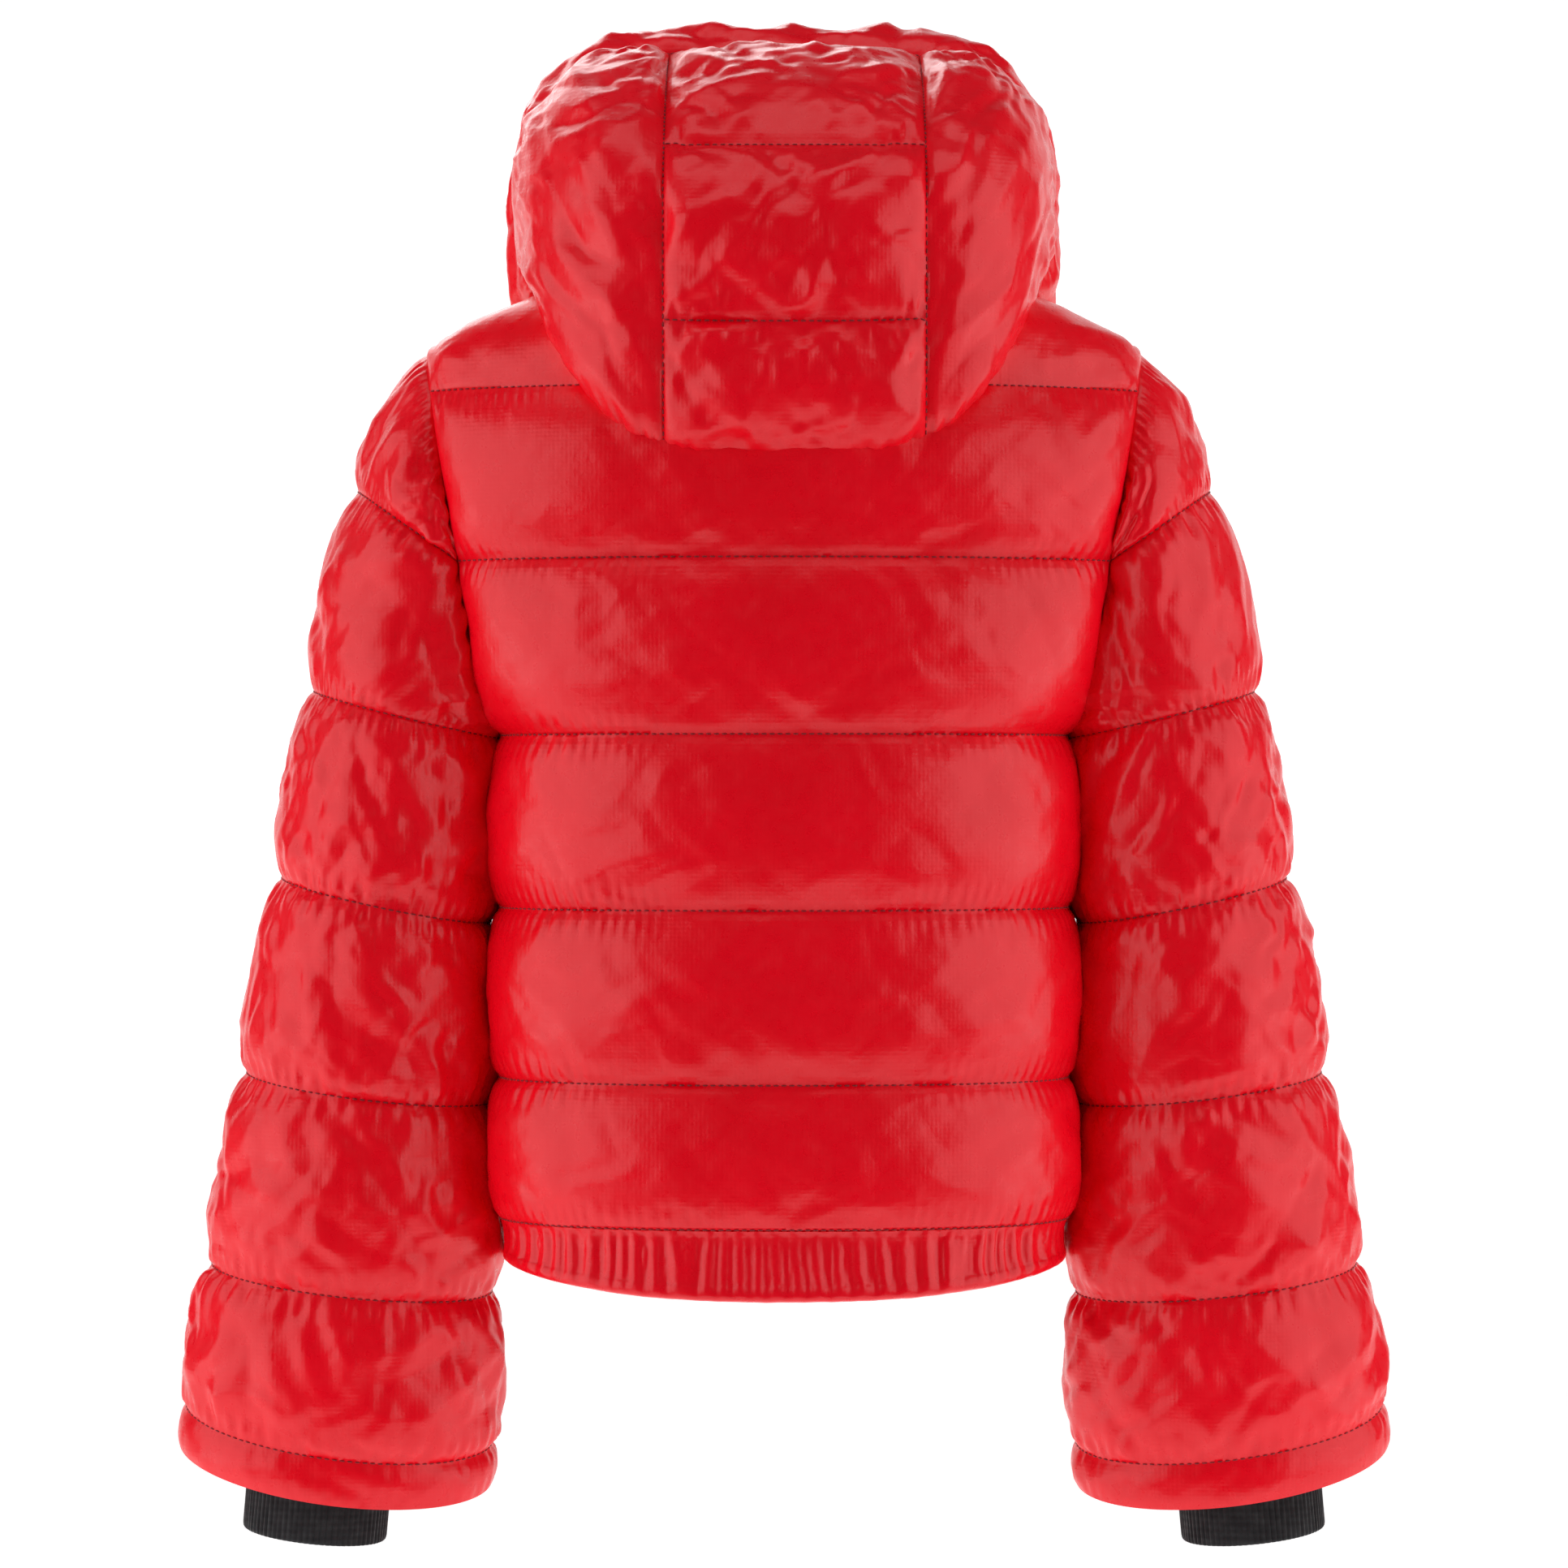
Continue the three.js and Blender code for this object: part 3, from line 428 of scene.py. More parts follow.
# ---------------------------------------------------------------- garment forms
@dataclass(frozen=True)
class TrunkForm:
    """The body's outer surface. Depth at (x, z) is an oval |x/a|^2.4 + |y/b|^2.4 = 1, rounded at the top."""

    hem_low: float = -592 * MM
    hem_seam: float = -552 * MM
    quilt: tuple[float, ...] = (-471 * MM, -373 * MM, -274 * MM, -175 * MM)
    yoke_seam: float = -78 * MM
    half_width: float = 166 * MM
    flare: float = 0.39
    back: float = 116 * MM
    sway: float = 6 * MM
    front: float = 90 * MM
    lean: float = 0.0641
    power: float = 2.4
    neck_half: float = 76 * MM
    shoulder_top: float = 8 * MM
    shoulder_round: float = 110 * MM
    hem_rise: float = 16 * MM
    collar_half: float = 77 * MM
    collar_deep: float = 72 * MM
    collar_mid: float = -13 * MM
    tip: float = 206 * MM

    @property
    def underarm(self) -> float:
        """Height of the underarm, on the third quilting seam up."""
        return self.quilt[2]

    def shoulder_line(self, x: Array) -> Array:
        """Height of the shoulder: level over the neck, then 8 - 0.34d - 0.0009d^2 mm at d mm out."""
        out = np.maximum(np.abs(x) - self.neck_half, 0.0)
        return self.shoulder_top - 0.34 * out - 0.9 * out * out

    def edge(self, z: float, inset: float) -> float:
        """Half width of a row of the panel: to the armhole's leaning plane, or to the oval's side.

        Args:
            z: height of the row.
            inset: distance in from the outer surface.

        Returns:
            Half of its width.
        """
        side = self.half_width + self.flare * max(z - self.underarm, 0.0) - inset
        armhole = self.tip + (z + 55 * MM) * (37 / 219)
        return min(side, armhole) if z > self.underarm else side

    def depth(self, x: Array, z: Array, side: Array | int, inset: float = 0.0) -> Array:
        """Distance of the surface from the middle plane Y = 0, on the back (side 1) or the front (-1).

        Args:
            x: X of the points.
            z: their heights.
            side: 1 for the back, -1 for the front.
            inset: distance in from the outer surface.

        Returns:
            Distances of at least 1.5 mm.
        """
        back = self.back + self.sway * np.cos(2 * math.pi * (z + 0.2) / 0.6)
        full = np.where(np.asarray(side) > 0, back, self.front - self.lean * z) - inset
        wide = self.half_width + self.flare * np.maximum(z - self.underarm, 0.0) - inset
        across = np.clip(np.abs(x) / wide, 0.0, 1.0)
        oval = (1 - across**self.power) ** (1 / self.power)
        return np.maximum(full * oval * self._rounded(x, z, inset), 1.5 * MM)

    def _rounded(self, x: Array, z: Array, inset: float) -> Array:
        """The share of full depth left by the rounding towards the shoulder line."""
        t = np.clip((self.shoulder_line(x) - inset - z) / self.shoulder_round, 0.0, 1.0)
        return (1 - (1 - t) ** 2.2) ** (1 / 2.2)

    def holds(self, p: Array, inset: float) -> Array:
        """Whether points lie inside the trunk.

        Args:
            p: points, shape (..., 3).
            inset: distance in from the outer surface.

        Returns:
            True for the points inside.
        """
        x, y, z = p[..., 0], p[..., 1], p[..., 2]
        inside = np.abs(y) < self.depth(x, z, np.where(y > 0, 1, -1), inset)
        return inside & (z < self.shoulder_line(x) - inset)

    def top_edge(self, x: Array, side: int, inset: float = 0.0) -> Array:
        """Height at which the panel ends: on the collar's ring near the neck, else on the shoulder line.

        Args:
            x: X of the points.
            side: 1 for the back, -1 for the front.
            inset: distance in from the outer surface.

        Returns:
            Heights, one for each x.
        """
        inside = np.clip(1 - (x / self.collar_half) ** 2, 0.0, None)
        ring = side * self.collar_mid + self.collar_deep * np.sqrt(inside)
        low = np.full_like(x, self.yoke_seam)
        full = self.depth(x, low, side, inset) / np.maximum(self._rounded(x, low, inset), 1e-3)
        q = np.clip(ring / full, 0.0, 0.999)
        t = np.where(inside > 0, 1 - (1 - q**2.2) ** (1 / 2.2), 0.0)
        return self.shoulder_line(x) - inset - self.shoulder_round * t

    def panel(self, side: int, inset: float, rows: list[int], columns: int, start: float | None) -> Array:
        """A panel from the hem seam to the shoulder: one grid row after another, each evenly spaced.

        Args:
            side: 1 for the back, -1 for the front.
            inset: distance in from the outer surface.
            rows: rows of each part between seams, from the hem up; the last is the yoke.
            columns: points in a row.
            start: X where a row starts, or None for a panel that reaches from side to side.

        Returns:
            Points of shape (sum of rows + 1, columns, 3).
        """
        lines = [
            self._row(k / n, part, side, inset, columns, start)
            for part, n in enumerate(rows)
            for k in range(n)
        ]
        lines.append(self._row(1.0, len(rows) - 1, side, inset, columns, start))
        return np.array(lines)

    def _row(
        self, share: float, part: int, side: int, inset: float, columns: int, start: float | None
    ) -> Array:
        """The row at a share of a part's height: x runs by a power of the cosine, y is the depth there.

        Args:
            share: share of the part's height.
            part: which part, from the hem up.
            side: 1 for the back, -1 for the front.
            inset: distance in from the outer surface.
            columns: points in a row.
            start: X where the row starts, or None.

        Returns:
            Points of shape (columns, 3).
        """
        seams = [self.hem_seam, *self.quilt, self.yoke_seam]
        yoke = part == len(seams) - 1
        top = float(self.shoulder_line(np.array([self.tip]))[0]) - inset if yoke else seams[part + 1]
        level = lerp(seams[part], top, share)
        edge = self.edge(level, inset)
        c = np.cos(np.linspace(0, math.pi, 361))
        x = -edge * np.sign(c) * np.abs(c) ** (2 / self.power)
        z = lerp(self.yoke_seam, self.top_edge(x, side, inset), share) if yoke else np.full_like(x, level)
        curve = np.stack([x, side * self.depth(x, z, side, inset), z], 1)
        if start is not None:
            first = [start, *[np.interp(start, x, curve[:, k]) for k in (1, 2)]]
            curve = np.concatenate([[first], curve[x > start + 0.5 * MM]])
        return resample(curve, np.linspace(0, 1, columns))

    def hem_path(self, z: float, inset: float, count: int, gap: float) -> Array:
        """The hem's line at a height, from the left front edge round the back to the right front edge.

        Args:
            z: height at the middle of the back.
            inset: distance in from the outer surface.
            count: points on the line.
            gap: half of the opening at the front.

        Returns:
            Points of shape (count, 3).
        """
        c = np.cos(np.linspace(0, math.pi, 361))
        x = (self.half_width - inset) * np.sign(c) * np.abs(c) ** (2 / self.power)
        low = np.clip((self.hem_seam - z) / (self.hem_seam - self.hem_low), 0, 1)
        height = z + self.hem_rise * low * (np.abs(x) / self.half_width) ** 2.5
        back = np.stack([x, self.depth(x, height, 1, inset), height], 1)
        front = np.stack([x, -self.depth(x, height, -1, inset), height], 1)
        left = front[(front[:, 0] > gap)][::-1]
        right = front[(front[:, 0] < -gap)][::-1]
        return resample(np.concatenate([left, back[1:-1], right]), np.linspace(0, 1, count))


@dataclass(frozen=True)
class SleeveForm:
    """The left sleeve's outer surface: rings in tilted planes along an axis that leans out and forward."""

    seams: tuple[tuple[float, float, float], ...] = (
        (-261 * MM, 14, 2),
        (-369 * MM, 12, 3),
        (-478 * MM, 7, 4),
        (-590 * MM, 6, 6),
        (-676 * MM, 7.5, 14),
        (-699 * MM, 7.5, 18),
    )
    axis: tuple[float, float] = (201 * MM, -60 * MM)
    lean: float = 0.0973
    half: tuple[float, float] = (54 * MM, 93 * MM)
    deep: tuple[float, float] = (64 * MM, 62 * MM)
    forward: float = 36 * MM

    def ring(self, z: float, side: float, back: float, angle: Array, inset: float = 0.0) -> Array:
        """Points round the sleeve: half cos(a) outwards and deep sin(a) to the back, in the ring's plane.

        Args:
            z: height of the middle of the ring.
            side: tilt to the side, in degrees.
            back: tilt to the back, in degrees.
            angle: angles, in radians.
            inset: distance in from the outer surface.

        Returns:
            Points of shape (angles, 3).
        """
        top, end = self.seams[0][0], self.seams[-1][0]
        t = min(max((top - z) / (top - end), 0.0), 1.0)
        half, deep = lerp(*self.half, t**1.1) - inset, lerp(*self.deep, t) - inset
        centre = np.array([self.axis[0] + (self.axis[1] - z) * self.lean, -self.forward * t**1.6, z])
        out = unit(np.array([1, 0, math.tan(math.radians(side))]))
        rear = unit(np.array([0, 1, -math.tan(math.radians(back))]))
        return centre + np.outer(half * np.cos(angle), out) + np.outer(deep * np.sin(angle), rear)

    def cap_ring(self, angle: Array, inset: float = 0.0) -> Array:
        """The ring through the first seam over the shoulder, in a plane 35 degrees above the level.

        Args:
            angle: angles, in radians.
            inset: distance in from the outer surface.

        Returns:
            Points of shape (angles, 3).
        """
        out = np.array([math.cos(math.radians(35)), 0, math.sin(math.radians(35))])
        centre = np.array([206 * MM, 0, -161.5 * MM])
        half, deep = 50 * MM - inset, 64 * MM - inset
        return centre + np.outer(half * np.cos(angle), out) + np.outer(deep * np.sin(angle), [0, 1, 0])

    def tube(self, inset: float, rows: list[int], columns: int) -> Array:
        """Rings from the seam at the underarm to the hem: height, side and back run evenly between seams.

        Args:
            inset: distance in from the outer surface.
            rows: rings in each channel.
            columns: points in a ring.

        Returns:
            Points of shape (rings, columns, 3).
        """
        angle = math.pi - np.arange(columns) * 2 * math.pi / columns
        stops = np.array(self.seams)
        places = [lerp(stops[i], stops[i + 1], k / n) for i, n in enumerate(rows) for k in range(n)]
        rings = np.array([self.ring(*place, angle, inset) for place in [*places, stops[-1]]])
        near = smooth((np.abs(angle) - 0.55 * math.pi) / (0.45 * math.pi))
        fade = np.clip(1 - np.arange(len(rings)) / rows[0], 0, 1) ** 2
        return rings + np.array([-9 * MM, 0, -2 * MM]) * near[None, :, None] * fade[:, None, None]


@dataclass(frozen=True)
class HoodForm:
    """The hood's outer surface: sections across Y that narrow and fall to the back."""

    middle: float = 12 * MM
    half_width: float = 155 * MM
    up: float = 129 * MM
    down: float = 158 * MM
    front: float = -88 * MM
    crest: float = -50 * MM
    round_from: float = 20 * MM
    back: float = 150 * MM
    brim_seam: float = -10 * MM
    panel: tuple[float, float] = (-79 * MM, 67 * MM)
    quilt: tuple[float, float] = (-44 * MM, 55 * MM)
    fall: float = 0.35
    narrow: float = 0.12
    heart: tuple[float, float, float] = (0.0, 10 * MM, 5 * MM)

    def section(self, y: Array, inset: float) -> tuple[Array, Array, Array]:
        """Half width, height and drop of the section at y.

        Args:
            y: Y of the section.
            inset: distance in from the outer surface.

        Returns:
            The three lengths.
        """
        behind = np.maximum(y - self.crest, 0.0)
        turned = np.clip((self.crest - y) / (self.crest - self.front), 0.0, 1.0) ** 1.6
        t = np.clip((y - self.round_from) / (self.back - inset - self.round_from), 0.0, 0.99999)
        half = self.half_width - self.narrow * behind - 26 * MM * turned - inset
        up = self.up - self.fall * behind - 20 * MM * turned - inset
        shrink = [np.maximum(1 - t**k, 1e-9) ** (1 / k) for k in (4.0, 2.3, 4.0)]
        return half * shrink[0], up * shrink[1], (self.down - inset) * shrink[2]

    def holds(self, p: Array, inset: float) -> Array:
        """Whether points lie inside the superellipse of the section through them.

        Args:
            p: points, shape (..., 3).
            inset: distance in from the outer surface.

        Returns:
            True for the points inside.
        """
        half, up, down = self.section(p[..., 1], inset)
        z = p[..., 2] - self.middle
        x = np.abs(p[..., 0]) / half
        high = x**4.0 + (np.abs(z) / up) ** 4.0
        low = x**3.2 + (np.abs(z) / down) ** 3.2
        return (np.where(z > 0, high, low) < 1) & (p[..., 1] < self.back - inset - 1e-5)

    def reach(self, start: Array, away: Array, inset: float) -> Array:
        """The points where rays from inside leave the hood, found by halving.

        Args:
            start: a point inside, or one for each ray.
            away: unit directions.
            inset: distance in from the outer surface.

        Returns:
            One point for each ray.
        """
        lo, hi = np.zeros(away.shape[:-1]), np.full(away.shape[:-1], 0.5)
        for _ in range(30):
            mid = (lo + hi) / 2
            inside = self.holds(start + away * mid[..., None], inset)
            lo, hi = np.where(inside, mid, lo), np.where(inside, hi, mid)
        return start + away * lo[..., None]

    def profile(self, x: Array, inset: float, count: int = 260) -> Array:
        """Lines of constant x from the front over the crown and down the back, shape (count, len(x), 3).

        Args:
            x: X of each line.
            inset: distance in from the outer surface.
            count: points on a line.

        Returns:
            Points of shape (count, len(x), 3).
        """
        phi = np.radians(np.linspace(104, -78, count))[:, None]
        start = np.zeros((count, len(x), 3)) + np.array(self.heart)
        start[..., 0] = x
        away = np.stack(np.broadcast_arrays(0.0, np.cos(phi), np.sin(phi)), -1) + np.zeros_like(start)
        return self.reach(start, away, inset)

    def arch(self, y: float, angle: Array, inset: float) -> Array:
        """Points of the section at y, at angles from the wearer's left over the top.

        Args:
            y: Y of the section.
            angle: angles, in radians.
            inset: distance in from the outer surface.

        Returns:
            Points of shape (angles, 3).
        """
        half, up, down = (float(v) for v in self.section(np.array(y), inset))
        c, s = np.cos(angle), np.sin(angle)
        power = np.where(s > 0, 2 / 4.0, 2 / 3.2)
        x = half * np.sign(c) * np.abs(c) ** power
        z = np.where(s > 0, up, down) * np.sign(s) * np.abs(s) ** power
        return np.stack([x, np.full_like(x, y), self.middle + z], axis=1)


# ---------------------------------------------------------------- finishes
@dataclass(frozen=True)
class Finish:
    """A procedural material. Colours are linear."""

    name: str
    colour: tuple[float, float, float]
    deep: tuple[float, float, float]
    roughness: float
    coat: float = 0.0
    coat_roughness: float = 0.2
    metallic: float = 0.0
    sheen: float = 0.0
    specular: float = 0.5
    grain: float = 2600.0
    grain_depth: float = 0.00004
    crinkle: float = 0.0
    patch: float = 14.0

    def material(self) -> bpy.types.Material:
        """Builds the node material: colour patches, roughness patches, a fine weave and soft crinkles.

        Returns:
            The material.
        """
        made = bpy.data.materials.new(self.name)
        made.use_nodes = True
        tree = made.node_tree
        nodes, links = tree.nodes, tree.links
        shader = nodes["Principled BSDF"]
        shader.inputs["Metallic"].default_value = self.metallic
        shader.inputs["Coat Weight"].default_value = self.coat
        shader.inputs["Coat Roughness"].default_value = self.coat_roughness
        shader.inputs["Sheen Weight"].default_value = self.sheen
        shader.inputs["Sheen Roughness"].default_value = 0.4
        shader.inputs["Specular IOR Level"].default_value = self.specular
        place = nodes.new("ShaderNodeTexCoord").outputs["Object"]
        patches = self._noise(tree, place, self.patch, 4.0)
        mix = nodes.new("ShaderNodeMix")
        mix.data_type = "RGBA"
        mix.inputs["A"].default_value = (*self.colour, 1)
        mix.inputs["B"].default_value = (*self.deep, 1)
        links.new(self._between(tree, patches, 0.35, 0.72, 0.0, 0.85), mix.inputs["Factor"])
        links.new(mix.outputs["Result"], shader.inputs["Base Color"])
        speck = self._noise(tree, place, self.patch * 9, 3.0)
        rough = self._between(tree, speck, 0.3, 0.7, self.roughness * 0.86, self.roughness * 1.2)
        links.new(rough, shader.inputs["Roughness"])
        height = self._weave(tree, place)
        links.new(height, shader.inputs["Normal"])
        return made

    @staticmethod
    def _noise(tree: bpy.types.NodeTree, place: Socket, scale: float, detail: float) -> Socket:
        """A noise texture's factor.

        Args:
            tree: the material's node tree.
            place: object coordinates.
            scale: patches in a metre.
            detail: octaves.

        Returns:
            Its factor.
        """
        noise = tree.nodes.new("ShaderNodeTexNoise")
        noise.inputs["Scale"].default_value = scale
        noise.inputs["Detail"].default_value = detail
        tree.links.new(place, noise.inputs["Vector"])
        return noise.outputs["Fac"]

    @staticmethod
    def _between(
        tree: bpy.types.NodeTree, value: Socket, low: float, high: float, to_low: float, to_high: float
    ) -> Socket:
        """Maps a value from one range to another.

        Args:
            tree: the material's node tree.
            value: the number to map.
            low: start of the first range.
            high: end of the first range.
            to_low: start of the second range.
            to_high: end of the second range.

        Returns:
            The mapped number.
        """
        ranged = tree.nodes.new("ShaderNodeMapRange")
        for name, number in zip(("From Min", "From Max", "To Min", "To Max"), (low, high, to_low, to_high)):
            ranged.inputs[name].default_value = number
        tree.links.new(value, ranged.inputs["Value"])
        return ranged.outputs["Result"]

    def _weave(self, tree: bpy.types.NodeTree, place: Socket) -> Socket:
        """Two bumps: crinkles a few millimetres wide, then the threads of a plain weave.

        Args:
            tree: the material's node tree.
            place: object coordinates.

        Returns:
            The bent normal.
        """
        crinkle = tree.nodes.new("ShaderNodeBump")
        crinkle.inputs["Strength"].default_value = 1.0
        crinkle.inputs["Distance"].default_value = self.crinkle
        tree.links.new(self._noise(tree, place, 150.0, 5.0), crinkle.inputs["Height"])
        waves = []
        for direction in ("X", "Z"):
            wave = tree.nodes.new("ShaderNodeTexWave")
            wave.bands_direction = direction
            wave.inputs["Scale"].default_value = self.grain / 20
            tree.links.new(place, wave.inputs["Vector"])
            waves.append(wave.outputs["Fac"])
        both = tree.nodes.new("ShaderNodeMath")
        both.operation = "ADD"
        for slot_number, wave in enumerate(waves):
            tree.links.new(wave, both.inputs[slot_number])
        weave = tree.nodes.new("ShaderNodeBump")
        weave.inputs["Strength"].default_value = 0.5
        weave.inputs["Distance"].default_value = self.grain_depth
        tree.links.new(both.outputs["Value"], weave.inputs["Height"])
        tree.links.new(crinkle.outputs["Normal"], weave.inputs["Normal"])
        return weave.outputs["Normal"]


SHELL = Finish("cire_nylon", (0.97, 0.001, 0.013), (0.88, 0.001, 0.010), 0.29, specular=0.4, crinkle=0.0003)
HEM = Finish("hem_nylon", (0.94, 0.001, 0.013), (0.85, 0.001, 0.010), 0.29, specular=0.4, crinkle=0.0003)
CLOTH = Finish("lining_cloth", (0.42, 0.001, 0.008), (0.32, 0.001, 0.006), 0.55, sheen=0.2, crinkle=0.0012)
KNIT = Finish(
    "ribbed_knit", (0.013, 0.013, 0.015), (0.007, 0.007, 0.008), 0.9, sheen=0.35, grain=1500,
    grain_depth=0.0004,
)
BAND = Finish("elastic_band", (0.7, 0.68, 0.62), (0.6, 0.58, 0.53), 0.8, grain_depth=0.0003)
THREAD = Finish(
    "sewing_thread", (0.30, 0.0005, 0.006), (0.22, 0.0004, 0.004), 0.5, sheen=0.2, grain_depth=0.0001
)
TAPE = Finish("woven_tape", (0.46, 0.001, 0.008), (0.36, 0.001, 0.006), 0.75, sheen=0.1, grain_depth=0.0003)
TEETH = Finish("moulded_teeth", (0.52, 0.001, 0.009), (0.44, 0.001, 0.007), 0.3, coat=0.2)
METAL = Finish(
    "plated_metal", (0.55, 0.56, 0.58), (0.45, 0.46, 0.48), 0.27, metallic=1.0, grain_depth=0.00002
)


# ---------------------------------------------------------------- workshop
def grid_quads(index: Array, closed: bool) -> Array:
    """Quads between the rows of a grid of point numbers.

    Args:
        index: point numbers, shape (rows, columns).
        closed: whether the columns run round into each other.

    Returns:
        Point numbers of shape (quads, 4).
    """
    nexts = np.roll(index, -1, axis=1) if closed else index[:, 1:]
    here = index if closed else index[:, :-1]
    return np.stack([here[:-1], nexts[:-1], nexts[1:], here[1:]], axis=-1).reshape(-1, 4)


def rim_faces(fine: Array, coarse: Array, forward: bool) -> list[Array]:
    """Faces between a line of points and one with a quarter of its steps: two quads and a triangle.

    Args:
        fine: numbers of the finer line.
        coarse: numbers of the coarser line.
        forward: whether the faces keep this turn.

    Returns:
        One array of faces for each count of corners.
    """
    steps = (len(fine) - 1) // (len(coarse) - 1)
    if steps == 1:
        faces = [np.stack([fine[:-1], fine[1:], coarse[1:], coarse[:-1]], 1)]
    else:
        o = [fine[k::4][: len(coarse) - 1] for k in range(4)] + [fine[4::4]]
        a, b = coarse[:-1], coarse[1:]
        quads = [np.stack([o[0], o[1], o[2], a], 1), np.stack([o[2], o[3], o[4], b], 1)]
        faces = [np.concatenate(quads), np.stack([o[2], b, a], 1)]
    return faces if forward else [f[:, ::-1] for f in faces]


def facing_out(points: Array, faces: list[Array]) -> list[Array]:
    """Turns every face over if the closed mesh's signed volume, summed over its fans, is below zero.

    Args:
        points: points of the mesh.
        faces: its faces, one array for each count of corners.

    Returns:
        The faces, turned or not.
    """
    p = points - points.mean(0)
    volume = 0.0
    for group in faces:
        corner = [p[group[:, k]] for k in range(group.shape[1])]
        volume += sum(
            (corner[0] * np.cross(corner[k], corner[k + 1])).sum() for k in range(1, len(corner) - 1)
        )
    return faces if volume > 0 else [group[:, ::-1] for group in faces]


@dataclass
class Workshop:
    """Turns grids of points into finished Blender objects."""

    origin: Array = field(default_factory=lambda: np.array([0.0, -43.286 * MM, -26 * MM]))
    materials: dict[str, bpy.types.Material] = field(default_factory=dict)

    def material(self, finish: Finish) -> bpy.types.Material:
        """The finish's material, made once."""
        if finish.name not in self.materials:
            self.materials[finish.name] = finish.material()
        return self.materials[finish.name]

    def place(self, point: Array) -> tuple[float, ...]:
        """A garment-frame point in the row frame."""
        return tuple(float(v) for v in np.asarray(point) + self.origin)

    def object(self, name: str, points: Array, faces: list[Array], finish: Finish) -> Object:
        """A smooth-shaded mesh object, sharp where its faces meet steeply.

        Args:
            name: the object's name.
            points: garment-frame points, shape (n, 3).
            faces: arrays of point numbers, one array for each count of corners.
            finish: its material.

        Returns:
            The object, at the origin.
        """
        mesh = bpy.data.meshes.new(name)
        corners = np.concatenate([f.ravel() for f in faces]).astype(np.int32)
        sizes = np.concatenate([np.full(len(f), f.shape[1]) for f in faces])
        starts = np.concatenate([[0], np.cumsum(sizes)[:-1]]).astype(np.int32)
        mesh.vertices.add(len(points))
        mesh.vertices.foreach_set("co", (points + self.origin).astype(np.float32).ravel())
        mesh.loops.add(len(corners))
        mesh.loops.foreach_set("vertex_index", corners)
        mesh.polygons.add(len(sizes))
        mesh.polygons.foreach_set("loop_start", starts)
        mesh.polygons.foreach_set("use_smooth", np.ones(len(sizes), bool))
        mesh.update(calc_edges=True)
        mesh.set_sharp_from_angle(angle=math.radians(62))
        made = bpy.data.objects.new(name, mesh)
        bpy.context.scene.collection.objects.link(made)
        made.data.materials.append(self.material(finish))
        log.info("built %s: %d faces", name, len(sizes))
        return made

    def pad(self, name: str, outer: Array, inner: Array, finish: Finish, closed: bool) -> Object:
        """A closed pad: an outer grid, an inner grid with as many or a quarter of its steps, and its rims.

        Args:
            name: the object's name.
            outer: the outer grid.
            inner: the inner grid.
            finish: its finish.
            closed: whether the columns run round into each other.

        Returns:
            The object.
        """
        rows, columns = outer.shape[:2]
        top = np.arange(rows * columns).reshape(rows, columns)
        under = rows * columns + np.arange(inner.shape[0] * inner.shape[1]).reshape(inner.shape[:2])
        faces = [grid_quads(top, closed), grid_quads(under, closed)[:, ::-1]]
        if closed:
            top, under = (np.concatenate([g, g[:, :1]], axis=1) for g in (top, under))
        faces += rim_faces(top[0], under[0], False) + rim_faces(top[-1], under[-1], True)
        if not closed:
            faces += rim_faces(top[:, 0], under[:, 0], True) + rim_faces(top[:, -1], under[:, -1], False)
        points = np.concatenate([outer.reshape(-1, 3), inner.reshape(-1, 3)])
        return self.object(name, points, facing_out(points, faces), finish)

    def cloth(self, name: str, grid: Array, thick: float, finish: Finish, closed: bool) -> Object:
        """A thin closed sheet: the grid and its copy moved in by the thickness."""
        return self.pad(name, grid, grid - grid_normals(grid, closed) * thick, finish, closed)

    def sweep(self, name: str, rings: Array, finish: Finish) -> Object:
        """A body from rings of points, shape (rings, points, 3), its ends closed by fans.

        Args:
            name: the object's name.
            rings: points, shape (rings, points, 3).
            finish: its finish.

        Returns:
            The object.
        """
        rows, columns = rings.shape[:2]
        index = np.arange(rows * columns).reshape(rows, columns)
        points = np.concatenate([rings.reshape(-1, 3), rings[0].mean(0)[None], rings[-1].mean(0)[None]])
        hub = rows * columns
        first = np.stack([np.full(columns, hub), np.roll(index[0], -1), index[0]], 1)
        last = np.stack([np.full(columns, hub + 1), index[-1], np.roll(index[-1], -1)], 1)
        faces = [grid_quads(index, True)[:, ::-1], np.concatenate([first, last])[:, ::-1]]
        return self.object(name, points, facing_out(points, faces), finish)

    def strip(
        self, name: str, path: Array, across: Array, up: Array, size: tuple[float, float], finish: Finish
    ) -> Object:
        """A flat strip swept along a path: a rectangle of width and thickness with rounded edges.

        Args:
            name: the object's name.
            path: the line, shape (n, 3).
            across: directions of the width along it.
            up: directions of the thickness.
            size: width and thickness.
            finish: its finish.

        Returns:
            The object.
        """
        angle = np.linspace(0, 2 * math.pi, 20, endpoint=False)
        c, s = np.cos(angle), np.sin(angle)
        x = size[0] / 2 * np.sign(c) * np.abs(c) ** 0.25
        y = size[1] / 2 * np.sign(s) * np.abs(s) ** 0.6
        rings = path[:, None] + across[:, None] * x[None, :, None] + up[:, None] * y[None, :, None]
        return self.sweep(name, rings, finish)


